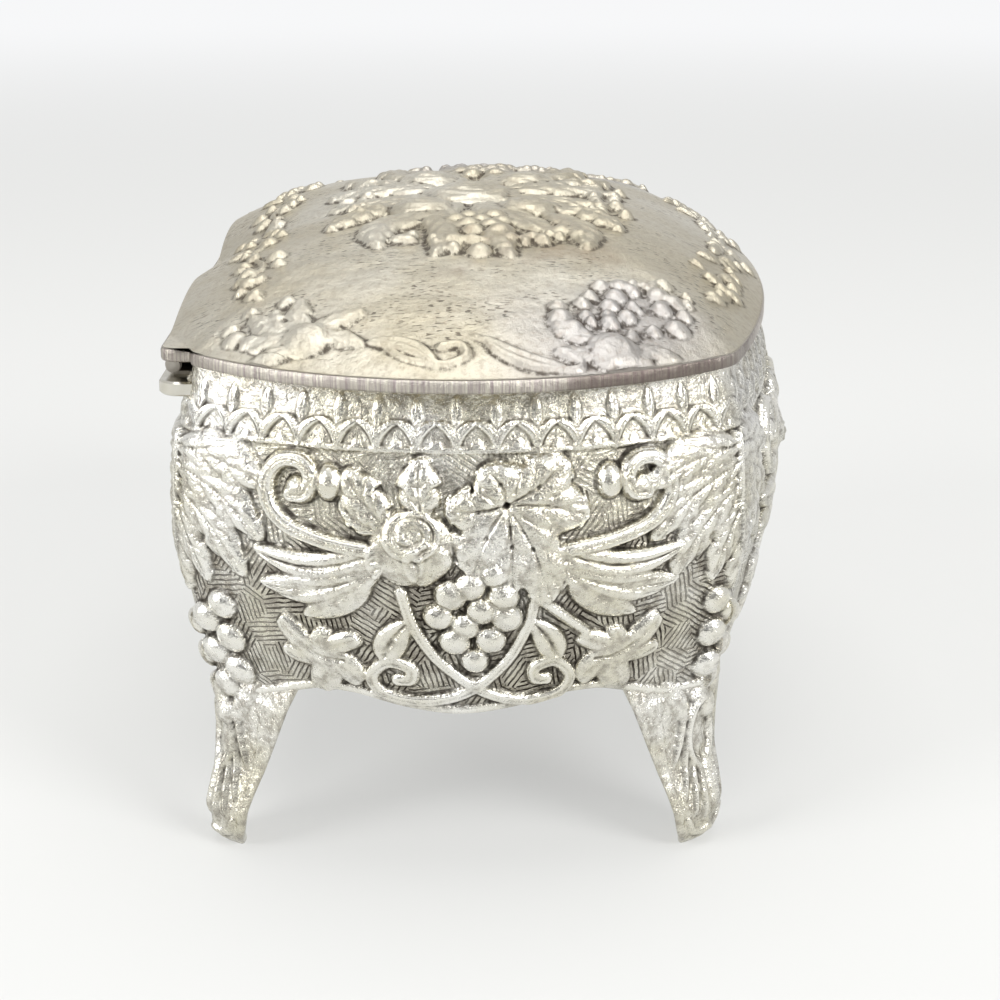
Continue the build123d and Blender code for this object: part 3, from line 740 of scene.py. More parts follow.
def footPiece(name, side, rear, material):
    # Kite-shaped loops, one above another, with their corners rounded by blurring round each loop
    sections = np.array(foot["sections"])
    z = np.linspace(0, sections[-1, 0], foot["levels"])
    spread, depth, out = (np.interp(z, sections[:, 0], sections[:, k])[:, None] for k in (1, 2, 3))
    spread, depth, out = (blur(values, 2.0)[:, :1] for values in (spread, depth, out))
    slope = 0.0 if rear else 2 * math.atan(box["frontBow"] / box["cornerX"])
    endSlope = 2 * math.atan(2 * box["endBow"] / boxDepth)
    inwards = -1 if rear else 1
    alongEnd = np.array([side * math.sin(endSlope), inwards * math.cos(endSlope)])
    alongSide = np.array([-side * math.cos(slope), -inwards * math.sin(slope)])
    outwards = -(alongEnd + alongSide) / np.linalg.norm(alongEnd + alongSide)
    corner = np.array([side * box["cornerX"], box["rearWall"] if rear else box["frontCorner"]])
    n, m = foot["perSide"], foot["perBack"]
    first, second = np.linspace(1, 0, n, endpoint=False), np.linspace(0, 1, n, endpoint=False)
    back = np.linspace(0, 1, m, endpoint=False)[:, None]
    loops = []
    for level in range(len(z)):
        tip = corner + outwards * out[level, 0]
        a, b = tip + alongEnd * spread[level, 0], tip + alongSide * spread[level, 0]
        d = tip - outwards * depth[level, 0]
        outer = np.vstack([tip + (a - tip) * first[:, None], tip + (b - tip) * second[:, None]])
        loops.append(np.vstack([outer, b + (d - b) * back, d + (a - d) * back]))
    plan = np.array(loops)
    count = plan.shape[1]
    pad = foot["rounding"] * 3
    wrapped = np.concatenate([plan[:, -pad:], plan, plan[:, :pad]], axis=1)
    taps = np.exp(-0.5 * (np.arange(-pad, pad + 1) / foot["rounding"]) ** 2)
    taps /= taps.sum()
    plan = sum(tap * wrapped[:, k : k + count] for k, tap in enumerate(taps))
    across = np.zeros((len(z), count))
    across[:, :n] = spread * first
    across[:, n : 2 * n] = -spread * second
    height = np.repeat(z[:, None], count, 1)
    h, ground = np.zeros(height.shape), np.zeros(height.shape)
    field = fieldOf(*(values[:, : 2 * n] for values in (across, height, h, ground)))
    carveFoot(field, 3.2 if rear else 0.0)
    h = blur(h, 0.6)
    h[:, 2 * n :] = 0
    tangent = np.roll(plan, -1, 1) - np.roll(plan, 1, 1)
    normal = np.stack([tangent[..., 1], -tangent[..., 0]], -1)
    normal /= np.linalg.norm(normal, axis=-1, keepdims=True)
    clockwise = side * inwards > 0
    if clockwise:
        normal = -normal
    plan = plan + normal * h[..., None]
    points = np.concatenate([plan, height[..., None]], -1)
    # hollow darkens the foot's hollows, patina and painted shade; proud lightens its raised places, wear and
    # a painted highlight
    hollow = np.clip((blur(h, 1.6) - h) * 3.0, 0, 1)
    uv = np.stack([across + foot["patternStart"], height], -1)
    if clockwise:
        points, hollow, uv = points[:, ::-1], hollow[:, ::-1], uv[:, ::-1]
    fields = {"ground": ground, "hollow": hollow, "proud": np.clip((h - blur(h, 2.5)) * 1.5, 0, 1)}
    stackPiece(
        name, points, material, "box", "body_casting", fields=fields, uv=uv.reshape(-1, 2),
    )


# Rear flange of the body, and the rings round the inside: the ledge under the base plate, measured
# from the wall's inner face, and the lid's locating lip, measured from the rim's outline
flange = {"depth": 5.4, "lap": 1.2, "top": 75.3, "thickness": 2.2, "cornerRadius": 2.5, "bevel": 0.3}
insideRings = {
    "wallHeight": 29.3,  # where the ledge meets the wall
    "ledge": {"outer": 0.2, "inner": -3.0, "low": 29.5, "high": 30.0},
    "lip": {"outer": -2.5, "inner": -3.7, "low": 76.5, "high": 78.35},
}


def roundedOutline(corners, radii, each=7):
    # Polygon with its corners rounded by quadratic curves, in the order given
    points = []
    count = len(corners)
    for k, (corner, radius) in enumerate(zip(corners, radii)):
        corner = np.array(corner, dtype=float)
        before, after = np.array(corners[k - 1]) - corner, np.array(corners[(k + 1) % count]) - corner
        start = corner + before / np.linalg.norm(before) * radius
        end = corner + after / np.linalg.norm(after) * radius
        pull = 0.25 * (start + end) + 0.5 * corner
        t = np.linspace(0, 1, each)[:, None]
        points.append((1 - t) ** 2 * start + 2 * t * (1 - t) * pull + t**2 * end)
    return np.vstack(points)


def normalsOf(loop):
    # Outward normals of a loop that runs against the clock
    tangent = np.roll(loop, -1, 0) - np.roll(loop, 1, 0)
    normal = np.column_stack([tangent[:, 1], -tangent[:, 0]])
    return normal / np.maximum(np.linalg.norm(normal, axis=1, keepdims=True), 1e-9)


def slab(name, corners, radii, low, high, bevel, material, body, node=None):
    # Flat slab with rounded corners and a bevel round both faces
    outline = roundedOutline(corners, radii)
    normal = normalsOf(outline)
    loops = [
        np.column_stack([outline - normal * inset, np.full(len(outline), z)])
        for z, inset in ((low, bevel), (low + bevel, 0), (high - bevel, 0), (high, bevel))
    ]
    stackPiece(name, np.array(loops), material, body, node, zones=[0, 1, 2, 3, 4])


def rearFlange(material):
    half, inner = box["cornerX"], box["rearWall"] - flange["lap"]
    outer, r = box["rearWall"] + flange["depth"], flange["cornerRadius"]
    corners = [(-half, inner), (half, inner), (half, outer), (-half, outer)]
    slab(
        "rear_flange", corners, [0.2, 0.2, r, r], flange["top"] - flange["thickness"], flange["top"],
        flange["bevel"], material, "box", "body_casting",
    )


def loopsRound(section, step):
    # The places (outward distance, height) of a section, each carried round the box's outline
    grow, height = np.array(section, dtype=float)[:, :2].T
    loop = planLoop(grow, step)
    return np.stack([loop["px"], loop["py"], np.repeat(height[:, None], loop["px"].shape[1], 1)], -1)


def ringPiece(name, ring, start, material, body, node):
    # A closed rectangular section carried round the box's outline
    outer, inner = start + ring["outer"], start + ring["inner"]
    section = [(outer, ring["low"]), (outer, ring["high"]), (inner, ring["high"]), (inner, ring["low"])]
    loops = loopsRound(section, 1.0)
    stackPiece(name, loops, material, body, node, ring=True, zones=[0, 1, 2, 3])


# Lid
lid = {
    "halfLength": 62.7,  # of its corners
    "endReach": 79.7,  # of the middle of each bowed end
    "frontCorner": -35.98,
    "frontReach": -45.98,
    "rear": 44.62,
    "flangeRear": 49.52,
    "flangeHalf": 60.7,
    "under": 78.3,
    "edge": 2.1,  # thickness at its rim
    "rounding": 0.5,
    "dome": 12.5,
    "centreY": 0.12,
    "frontRadius": 8.0,
    "rearRadius": 2.5,
    "columns": 571,
    "rows": 311,
    "hollowInset": 4.0,
    "hollowDepth": 2.35,
}


def circleThrough(a, b, c):
    # Centre and radius of the circle through three points
    (ax, ay), (bx, by), (cx, cy) = a, b, c
    d = 2 * (ax * (by - cy) + bx * (cy - ay) + cx * (ay - by))
    a2, b2, c2 = ax * ax + ay * ay, bx * bx + by * by, cx * cx + cy * cy
    x = (a2 * (by - cy) + b2 * (cy - ay) + c2 * (ay - by)) / d
    y = (a2 * (cx - bx) + b2 * (ax - cx) + c2 * (bx - ax)) / d
    return np.array([x, y]), math.hypot(ax - x, ay - y)


def arcPoints(centre, radius, first, last, count):
    angle = np.linspace(first, last, count)
    return np.column_stack([centre[0] + radius * np.cos(angle), centre[1] + radius * np.sin(angle)])


def distanceAlong(points):
    return np.concatenate([[0], np.cumsum(np.hypot(*np.diff(points, axis=0).T))])


def evenly(points, count):
    # Points at equal distances along a dense line
    gone = distanceAlong(points)
    wanted = np.linspace(0, gone[-1], count)
    return np.column_stack([np.interp(wanted, gone, points[:, k]) for k in (0, 1)])


def lidSides():
    # Left end, front half and rear half of the outline, each from its corner's middle, and the rear
    # half as it would run without the flange
    corner = (-lid["halfLength"], lid["rear"])
    front = (-lid["halfLength"], lid["frontCorner"])
    endC, endR = circleThrough(corner, (-lid["endReach"], middleY), front)
    frontC, frontR = circleThrough(front, (0, lid["frontReach"]), (lid["halfLength"], lid["frontCorner"]))
    r = lid["frontRadius"]
    a, b = endR - r, frontR - r
    apart = np.linalg.norm(frontC - endC)
    towards = (frontC - endC) / apart
    along = (a * a - b * b + apart * apart) / (2 * apart)
    aside = math.sqrt(a * a - along * along)
    across = aside * np.array([-towards[1], towards[0]])
    options = [endC + towards * along + side * across for side in (1, -1)]
    fillet = min(options, key=lambda p: np.linalg.norm(p - np.array(front)))
    fEnd = math.atan2(*(fillet - endC)[::-1]) % (2 * math.pi)
    fSide = math.atan2(*(fillet - frontC)[::-1]) % (2 * math.pi)
    q = lid["rearRadius"]
    rearY = lid["rear"] - q
    rearFillet = np.array([endC[0] - math.sqrt((endR - q) ** 2 - (rearY - endC[1]) ** 2), rearY])
    rEnd = math.atan2(*(rearFillet - endC)[::-1])
    fMiddle, rMiddle = (fEnd + fSide) / 2, (rEnd + math.pi / 2) / 2
    end = np.vstack([
        arcPoints(rearFillet, q, rMiddle, rEnd, 60),
        arcPoints(endC, endR, rEnd, fEnd, 900),
        arcPoints(fillet, r, fEnd, fMiddle, 90),
    ])
    frontSide = np.vstack([
        arcPoints(fillet, r, fMiddle, fSide, 90),
        arcPoints(frontC, frontR, fSide, 1.5 * math.pi, 900),
    ])
    plainRear = np.vstack([arcPoints(rearFillet, q, rMiddle, math.pi / 2, 60), [[0.0, lid["rear"]]]])
    side, back = -lid["flangeHalf"], lid["flangeRear"]
    bend = arcPoints((side + q, back - q), q, math.pi, math.pi / 2, 40)
    start = arcPoints(rearFillet, q, rMiddle, math.pi / 2, 30)
    rearSide = np.vstack([start, [[side, lid["rear"] + 0.3]], bend, [[0.0, back]]])
    return end, frontSide, rearSide, plainRear


lidEnd, lidFront, lidRear, lidPlainRear = lidSides()
halfPlan = np.vstack([lidPlainRear[::-1], lidEnd, lidFront])
wholePlan = np.vstack([halfPlan, (halfPlan * [-1, 1])[::-1]])
planAngle = np.arctan2(wholePlan[:, 1] - lid["centreY"], wholePlan[:, 0])
planReach = np.hypot(wholePlan[:, 0], wholePlan[:, 1] - lid["centreY"])
planOrder = np.argsort(planAngle)
planAngle, planReach = planAngle[planOrder], planReach[planOrder]


def lidShare(x, y):
    # How far out a place on the lid is: 0 in the middle, 1 on the outline
    reach = np.interp(np.arctan2(y - lid["centreY"], x), planAngle, planReach, period=2 * math.pi)
    return np.hypot(x, y - lid["centreY"]) / reach


def domeHeight(share):
    # The dome falls with the cube of the way out
    return lid["under"] + lid["edge"] + lid["dome"] * (1 - np.clip(share / 0.992, 0, 1) ** 3)


lidFlower = {
    "rearRose": (-67.6, 27.0),
    "rearLeaves": [  # tip from the middle of the rose, width
        (3.4, 10.2, 4.6), (9.8, 9.0, 5.0), (12.4, 1.6, 4.4),
        (6.0, -8.4, 4.8), (-3.0, -8.6, 4.0), (-2.8, 8.6, 3.8),
    ],
    "frontRose": (-71.0, -17.6),
    "frontLeaves": [(-1.4, 8.8, 4.0), (7.0, 9.4, 4.6), (2.0, -9.8, 4.0), (-2.0, -6.0, 3.4)],
    "bouquet": (0.0, 4.0),
}


def scatterFlowers(field, outline, pitch, size, rise, spread):
    # Small roses, berries and leaf tips filling a long patch: rows along the line that outline follows,
    # each place pushed off by sines of its own number. spread is the patch's width along the line.
    path = curveThrough(outline, 40)
    gone = distanceAlong(path)
    count = int(gone[-1] / pitch)
    for number in range(count):
        run = (number + 0.5) / count * gone[-1]
        x, y = np.interp(run, gone, path[:, 0]), np.interp(run, gone, path[:, 1])
        ahead = min(run + 0.5, gone[-1])
        ax, ay = np.interp(ahead, gone, path[:, 0]) - x, np.interp(ahead, gone, path[:, 1]) - y
        length = math.hypot(ax, ay)
        wide = np.interp(run / gone[-1], np.linspace(0, 1, len(spread)), spread)
        lanes = max(1, int(wide / pitch + 0.5))
        for lane in range(lanes):
            mark = number * 7.3 + lane * 3.1
            off = (lane - (lanes - 1) / 2) * pitch + 0.3 * pitch * math.sin(mark)
            along = 0.35 * pitch * math.sin(mark * 1.7) + (0.5 * pitch if lane % 2 else 0.0)
            px, py = x - ay / length * off + ax / length * along, y + ax / length * off + ay / length * along
            radius = size * (1 + 0.25 * math.sin(mark * 2.3))
            kind = (number * 2 + lane * 3) % 5
            if kind in (0, 3):
                rose(field, (px, py), radius * 1.15, rise * 1.1, mark, 0.1)
            elif kind == 1:
                tip = px + 2.6 * radius * math.cos(mark), py + 2.6 * radius * math.sin(mark)
                blade(field, (px, py), tip, radius * 1.5, rise, 0.3, (0.6, 0.6), 0.2, veins=3)
            else:
                ball(field, (px, py), radius * 0.85, rise, 0.15)


def carveLidEnd(field, side):
    # A rose in its leaves and a patch of blossoms at both corners of one end, two scrolls along the
    # edge between them, and garlands along the front and the rear
    placed = dict(field, x=-field["x"] * side)
    x, y = lidFlower["rearRose"]
    for dx, dy, width in lidFlower["rearLeaves"]:
        tip = x + dx, y + dy
        blade(placed, (x, y), tip, width, 1.0, 0.8, (0.6, 0.6), 0.1, teeth=3, veins=4, under=0.05)
    scatterFlowers(placed, [(-66.0, 37.6), (-60.0, 34.0), (-56.0, 29.0)], 2.9, 1.35, 1.0, (4.0, 9.0, 4.0))
    rose(placed, (x, y), 4.0, 1.7, 0.4, 0.2)
    x, y = lidFlower["frontRose"]
    for dx, dy, width in lidFlower["frontLeaves"]:
        base = x + dx * 0.2, y + dy * 0.2
        blade(placed, base, (x + dx, y + dy), width, 0.9, 0.7, (0.6, 0.6), 0.1, teeth=3, veins=4)
    patch = [(-66.4, -9.6), (-60.6, -15.4), (-56.6, -22.6), (-50.6, -29.6)]
    scatterFlowers(placed, patch, 3.0, 1.45, 1.15, (6.0, 13.0, 15.0, 7.0))
    rose(placed, (x, y), 4.3, 1.8, 1.2, 0.2)
    blade(placed, (-70.0, 18.0), (-77.0, 7.6), 3.4, 1.0, 1.6, (0.5, 0.5), -0.6)
    coil = [(-70.6, 16.4), (-74.8, 12.0), (-76.2, 7.0), (-74.4, 3.8), (-71.8, 4.6), (-72.2, 7.2)]
    scroll(placed, coil, 1.5, 0.8, 0.0, (0.6, 1.1))
    blade(placed, (-70.0, 1.4), (-76.0, -11.0), 3.6, 0.95, -1.8, (0.5, 0.5), -0.6)
    coil = [(-69.6, 2.6), (-73.8, -2.4), (-76.2, -8.2), (-75.4, -12.4), (-72.6, -12.0), (-72.4, -9.6)]
    scroll(placed, coil, 1.5, 0.8, 0.0, (0.6, 1.1))
    garlands = (
        [(-52, 35.4), (-45, 38.6), (-37, 36.2), (-29, 39.2), (-21, 36.8), (-13, 39.6), (-5, 37.6), (1, 38.6)],
        [(-46, -33.4), (-40, -37.0), (-32, -36.2), (-25, -39.6), (-17, -38.0), (-9, -40.6), (-1, -39.6)],
    )
    for line in garlands:
        scroll(placed, line, 1.1, 0.6)
        scatterFlowers(placed, line, 3.4, 1.4, 1.1, (4.0, 6.0, 4.0, 6.5, 4.0))


def carveLidMiddle(field):
    # A bouquet: five roses on a ring of leaves, with long leaves and a bunch of berries to both sides
    cx, cy = lidFlower["bouquet"]
    leaves = 16
    for k in range(leaves):
        angle = k * 2 * math.pi / leaves + 0.16
        across, up = math.cos(angle), math.sin(angle)
        stretch = 1 + 0.16 * math.sin(k * 2.3)
        base = cx + 9.0 * across, cy + 6.0 * up
        tip = cx + 33.0 * across * stretch, cy + 24.0 * up * stretch
        blade(field, base, tip, 7.4, 1.5, 1.8 * (-1) ** k, (0.7, 0.6), 0.0, teeth=4, veins=5)
    for side in (1, -1):
        placed = dict(field, x=field["x"] * side)
        for base, tip, width, bend in (
            ((18, 14), (38, 18), 7.0, 2.4), ((17, 10), (43, 9), 6.4, -2.0),
            ((18, -2), (44, -3), 6.8, 2.2), ((18, -8), (38, -15), 7.0, -2.2),
            ((12, 16), (24, 27), 6.4, 1.6), ((12, -10), (24, -21), 6.4, -1.6),
        ):
            blade(placed, base, tip, width, 1.5, bend, (0.6, 0.6), 0.1, teeth=4, veins=5)
        scatterFlowers(placed, [(30, -14), (36, -6), (39, 4), (34, 14)], 3.3, 1.6, 1.5, (5.0, 7.0, 7.0, 5.0))
        berries = [
            (25, 6), (28, 4), (25, 2), (29, 0.4), (22.6, 4),
            (26.2, -1.4), (22.4, -0.2), (31.6, 3.2), (32, -1),
        ]
        grapes(placed, berries, 2.1, 1.7, 0.3)
        scatterFlowers(placed, [(17, -15), (8, -19), (0, -20)], 3.2, 1.5, 1.4, (6.0, 8.0, 6.0))
        scatterFlowers(placed, [(16, 20), (8, 23), (0, 24)], 3.2, 1.5, 1.4, (5.0, 7.0, 5.0))
        rose(placed, (14.6, 11.6), 6.0, 2.3, 0.7 * side, 0.3)
        rose(placed, (14.0, -5.6), 5.6, 2.2, 1.9 * side, 0.3)
    rose(field, (cx, cy), 9.0, 2.4, 0.2, 0.2)


def bothSides(line, count):
    # Even points along a line that ends in the middle of the lid, then along its mirror image
    half = evenly(line, count)
    return np.vstack([half, (half * [-1, 1])[::-1][1:]])


def lidPatch():
    # A grid spanned between the four sides of the outline, set in by the rounding of the rim, and
    # the outline's own points and normals, from the right-hand rear corner along the rear and round
    n, m = lid["columns"], lid["rows"]
    left = evenly(lidEnd, m)[::-1]
    front, rear = bothSides(lidFront, n // 2 + 1), bothSides(lidRear, n // 2 + 1)
    right = left * [-1, 1]
    loop = np.vstack([rear[::-1], left[::-1][1:], front[1:], right[1:-1]])
    normal = normalsOf(loop)
    inner = loop - normal * lid["rounding"]
    rear, left = inner[:n][::-1], inner[n - 1 : n + m - 1][::-1]
    front = inner[n + m - 2 : 2 * n + m - 2]
    right = left * [-1, 1]
    u, v = np.linspace(0, 1, n)[None, :, None], np.linspace(0, 1, m)[:, None, None]
    patch = (1 - v) * front[None] + v * rear[None] + (1 - u) * left[:, None] + u * right[:, None]
    patch -= (1 - u) * (1 - v) * front[0] + u * (1 - v) * front[-1] + (1 - u) * v * rear[0] + u * v * rear[-1]
    return patch[..., 0], patch[..., 1], loop, normal


def hollowUnder(points):
    # Where the hollow under the dome begins, on the lines from some points to the lid's centre
    inset = planLoop(np.array([-lid["hollowInset"]]), 0.4)
    x, y = inset["px"][0], inset["py"][0] - lid["centreY"]
    order = np.argsort(np.arctan2(y, x))
    angle = np.arctan2(points[:, 1] - lid["centreY"], points[:, 0])
    reach = np.interp(angle, np.arctan2(y, x)[order], np.hypot(x, y)[order], period=2 * math.pi)
    return np.column_stack([reach * np.cos(angle), reach * np.sin(angle) + lid["centreY"]])


def lidHalf(name, far, grid, marks, loop, normal, material):
    # One closed half: the carved dome, a rounded rim, a flat underside with a shallow hollow in it,
    # and a straight cut face down the middle of the lid
    n, m, middle = lid["columns"], lid["rows"], lid["columns"] // 2

    def mine(values):
        return values[:, middle:][:, ::-1] if far else values[:, : middle + 1]

    columns = middle + 1
    start = m * columns
    index = np.arange(start).reshape(m, columns)
    path = np.concatenate([index[-1, ::-1], index[::-1, 0][1:], index[0, 1:]])
    edge = np.arange(middle, n + m - 1 + middle)
    mirror = [-1, 1] if far else 1
    outline, outwards = loop[edge] * mirror, normal[edge] * mirror
    under, top = lid["under"], lid["under"] + lid["edge"]
    rim = [
        (0.15, top - 0.14), (0.0, top - 0.5), (0.0, top - 1.0),
        (0.0, under + 0.45), (0.12, under + 0.12), (0.4, under),
    ]
    places = [(outline - outwards * inset, height) for inset, height in rim]
    places += [(hollowUnder(outline), height) for height in (under, under + lid["hollowDepth"])]
    strips = [np.column_stack([place, np.full(len(edge), height)]) for place, height in places]
    for strip in strips:
        strip[[0, -1], 0] = 0.0
    k = len(path)
    rings = np.vstack([path[None, :], start + np.arange(len(strips) * k).reshape(-1, k)])
    faces = [gridFaces(m, columns)]
    for upper, lower in zip(rings[:-1], rings[1:]):
        faces.append(np.stack([upper[:-1], lower[:-1], lower[1:], upper[1:]], -1))
    faces.append(rings[-1][::-1][None, :])
    faces.append(np.concatenate([index[::-1, -1], rings[1:, -1], rings[1:, 0][::-1]])[None, :])
    points = np.vstack([mine(grid).reshape(-1, 3)] + strips)
    uv = points[:, :2].copy()
    uv[start:, 0] = np.tile(distanceAlong(outline) + 300, len(strips))
    uv[start:, 1] = points[start:, 2]
    blank = np.zeros(len(points) - start)
    fields = {key: np.concatenate([mine(values).ravel(), blank]) for key, values in marks.items()}
    fields["rim"] = np.zeros(len(points))
    fields["rim"][start : start + (len(rim) - 1) * k] = 1.0
    if far:
        faces = [face[:, ::-1] for face in faces]
    zones = [0, 0, 0, 0, 0, 0, 0, 1, 2, 3, 4]
    makePiece(name, points, faces, material, "lid", "lid_casting", zones, fields, uv)


def lidTops(material):
    x, y, loop, normal = lidPatch()
    share = lidShare(x, y)
    h, ground = np.zeros(x.shape), np.ones(x.shape)
    field = fieldOf(x, y, h, ground)
    carveLidMiddle(field)
    for side in (1, -1):
        carveLidEnd(field, side)
    h *= np.clip((1 - share) * 60, 0, 1)
    h = blur(h, 0.75)
    grid = np.stack([x, y, domeHeight(share) + h], -1)
    # hollow darkens the hollows and the ground round the flowers, patina and painted shade
    marks = {
        "hollow": np.clip((blur(h, 1.5) - h) * 4.0 + (blur(h, 5.0) - h) * 0.9, 0, 1),
        "ground": blur(ground, 1.0) * np.clip((0.97 - share) * 30, 0, 1),
        "proud": np.clip((h - blur(h, 2.2)) * 2.0, 0, 1),
    }
    for name, far in (("lid_top_near", False), ("lid_top_far", True)):
        lidHalf(name, far, grid, marks, loop, normal, material)


# Linings
lining = {
    "inset": 2.676,  # from the rim's outline to the back of the cards
    "card": 0.8,
    "velvet": 0.8,
    "low": 32.0,
    "high": 75.7,
    "gap": 0.3,
    "padInset": 4.58,
    "lidInset": 4.2,
    "floorGap": 0.4,  # between the floor card and the backs of the wall cards
    "floorCard": (31.0, 32.0),
    "lidCard": (79.5, 80.5),
    # Sections of the pads: how far in from the inset, height
    "floorPad": [(0.5, 32.0), (0.1, 32.3), (0.0, 32.9), (0.15, 33.4), (0.6, 33.75), (1.2, 33.9)],
    "lidPad": [(0.2, 79.5), (0.0, 79.3), (0.05, 78.9), (0.4, 78.55), (1.0, 78.42)],
    "floorRise": 0.4,
    "lidRise": -0.35,
}


def wallStrip(name, wall, inset, thickness, puff, material, node):
    # A closed section carried along one wall: up its inner face, over a rounded top, down its back
    numbers, shares = columnParts(wall, 0.9)
    steps = 26 if puff else 8
    t = np.linspace(0, 1, steps)
    low, high = lining["low"], lining["high"]
    roll = min(0.35, thickness / 2)
    base = low + 0.05
    bulge = -inset - thickness - puff * np.sin(np.pi * t) ** 0.7
    face = np.column_stack([bulge, base + (high - roll - low) * t])
    turn = np.linspace(np.pi, 0, 7)[1:-1]
    middle = -inset - thickness / 2
    cap = np.column_stack([middle + thickness / 2 * np.cos(turn), high - roll + roll * np.sin(turn)])
    back = np.array([[-inset, high - roll], [-inset, base]])
    section = np.vstack([face, cap, back])
    grow = np.repeat(section[:, :1], len(numbers), 1)
    grid = followWall(wall, (numbers, shares), grow)
    run, total = grid["run"][0], grid["total"][0, 0]
    keep = (run > lining["gap"]) & (run < total - lining["gap"])
    wave = np.sin(run / 2.7 + 1.3 * np.sin(run / 11.0))
    ripple = puff * 0.25 * wave * np.exp(-(((section[:, 1:] - high) / 9.0) ** 2))
    ripple[steps:] = 0
    px = grid["px"] - grid["nx"] * ripple
    py = grid["py"] - grid["ny"] * ripple
    points = np.stack([px, py, np.repeat(section[:, 1:], len(numbers), 1)], -1)[:, keep]
    points = points.transpose(1, 0, 2)
    uv = np.stack(np.broadcast_arrays(run[keep][:, None], section[:, 1][None]), -1)
    stackPiece(name, points, material, "box", node, uv=uv.reshape(-1, 2))


def padPiece(name, profile, rise, material, body, node, pucker):
    # Loops of the plan, shrinking towards the middle: profile has (distance in from the outline, height),
    # then the loops close over the top, which rises with the sixth power of the way out
    loops = list(loopsRound([(-inset, height) for inset, height in profile], 0.9))
    last = loops[-1]
    centre = np.array([0.0, 1.0])
    along = np.linspace(0, 2 * np.pi, len(last), endpoint=False)
    for share in np.linspace(0.97, 0.02, 34):
        loop = last.copy()
        loop[:, :2] = centre + (last[:, :2] - centre) * share
        crown = 1 - share**6
        gather = math.exp(-(1 - share) * 16) * (1 - share) * 20
        folds = pucker * np.cos(46 * along + 2 * np.sin(5 * along)) * gather
        soft = 0.08 * np.sin(loop[:, 0] / 9.0 + 1.1) * np.cos(loop[:, 1] / 7.0) * crown
        loop[:, 2] = last[0, 2] + rise * crown + (folds + soft) * np.sign(rise)
        loops.append(loop)
    loops = np.array(loops)
    if rise < 0:
        loops = loops[:, ::-1]
    piece = stackPiece(name, loops, material, body, node, uv=loops[..., :2].reshape(-1, 2))


def flatSheet(name, inset, low, high, material, body, slot, node):
    bevel = 0.1
    section = [(-inset - bevel, low), (-inset, low + bevel), (-inset, high - bevel), (-inset - bevel, high)]
    stackPiece(name, loopsRound(section, 1.2), material, body, node, zones=[0, 1, 2, 3, 4])


# Materials
def feed(tree, socket, value):
    # A value from another node is linked, anything else is set
    if isinstance(value, bpy.types.NodeSocket):
        tree.links.new(value, socket)
    else:
        socket.default_value = value


def addNode(tree, kind, inputs=None, **settings):
    new = tree.nodes.new(kind)
    for key, value in settings.items():
        setattr(new, key, value)
    for key, value in (inputs or {}).items():
        feed(tree, new.inputs[key], value)
    return new


def sumOf(tree, kind, *values, clamp=False):
    new = addNode(tree, "ShaderNodeMath", dict(enumerate(values)), operation=kind, use_clamp=clamp)
    return new.outputs[0]


def times(tree, first, *others, clamp=False):
    for value in others:
        first = sumOf(tree, "MULTIPLY", first, value, clamp=clamp)
    return first


def plus(tree, first, *others, clamp=False):
    for value in others:
        first = sumOf(tree, "ADD", first, value, clamp=clamp)
    return first


def less(tree, first, second, clamp=False):
    return sumOf(tree, "SUBTRACT", first, second, clamp=clamp)


def ramp(tree, value, low, high, outLow=0.0, outHigh=1.0, smooth=True):
    new = addNode(
        tree, "ShaderNodeMapRange",
        {"Value": value, "From Min": low, "From Max": high, "To Min": outLow, "To Max": outHigh},
        interpolation_type="SMOOTHSTEP" if smooth else "LINEAR",
    )
    return new.outputs["Result"]


def blendColour(tree, factor, first, second):
    return addNode(tree, "ShaderNodeMix", {0: factor, 6: first, 7: second}, data_type="RGBA").outputs[2]


def noise(tree, place, scale, detail=3.0, rough=0.55, output="Fac"):
    inputs = {"Vector": place, "Scale": scale, "Detail": detail, "Roughness": rough}
    return addNode(tree, "ShaderNodeTexNoise", inputs).outputs[output]


def stretch(tree, place, factors):
    return addNode(tree, "ShaderNodeVectorMath", {0: place, 1: factors}, operation="MULTIPLY").outputs[0]


def objectPlace(tree):
    return addNode(tree, "ShaderNodeTexCoord").outputs["Object"]


def surfacePlace(tree):
    # Place on the metal's surface, in millimetres
    uv = addNode(tree, "ShaderNodeUVMap", uv_map="millimetres").outputs["UV"]
    return stretch(tree, uv, (100, 100, 100))


def readMarks(tree, *names):
    return [addNode(tree, "ShaderNodeAttribute", attribute_name=name).outputs["Fac"] for name in names]


def startMaterial(name):
    material = bpy.data.materials.new(name)
    material.use_nodes = True
    tree = material.node_tree
    tree.nodes.clear()
    output = tree.nodes.new("ShaderNodeOutputMaterial")
    shader = tree.nodes.new("ShaderNodeBsdfPrincipled")
    tree.links.new(shader.outputs["BSDF"], output.inputs["Surface"])
    return material, tree, shader


def finishMaterial(tree, shader, colour, rough, height, metallic=1.0, strength=1.0, distance=mm):
    # Height is relief in units of distance
    bump = addNode(tree, "ShaderNodeBump", {"Strength": strength, "Distance": distance, "Height": height})
    given = {"Base Color": colour, "Metallic": metallic, "Roughness": rough, "Normal": bump.outputs[0]}
    for name, value in given.items():
        feed(tree, shader.inputs[name], value)


plate = {
    # rubbed is the worn colour of raised places, and also serves as a painted highlight
    "rubbed": (0.95, 0.94, 0.90, 1),
    "bright": (0.84, 0.825, 0.775, 1),
    "warm": (0.68, 0.65, 0.535, 1),
    # dull also serves as painted shade on the ground among the shapes
    "dull": (0.36, 0.335, 0.285, 1),
    # the darkest colour serves both patina and painted shade
    "patinaAndShade": (0.035, 0.028, 0.022, 1),
    "strokePitch": 0.78,  # millimetres from one cut stroke to the next
    "patch": 4.6,  # millimetres across a patch of parallel strokes
    "strokeDepth": 0.2,
}


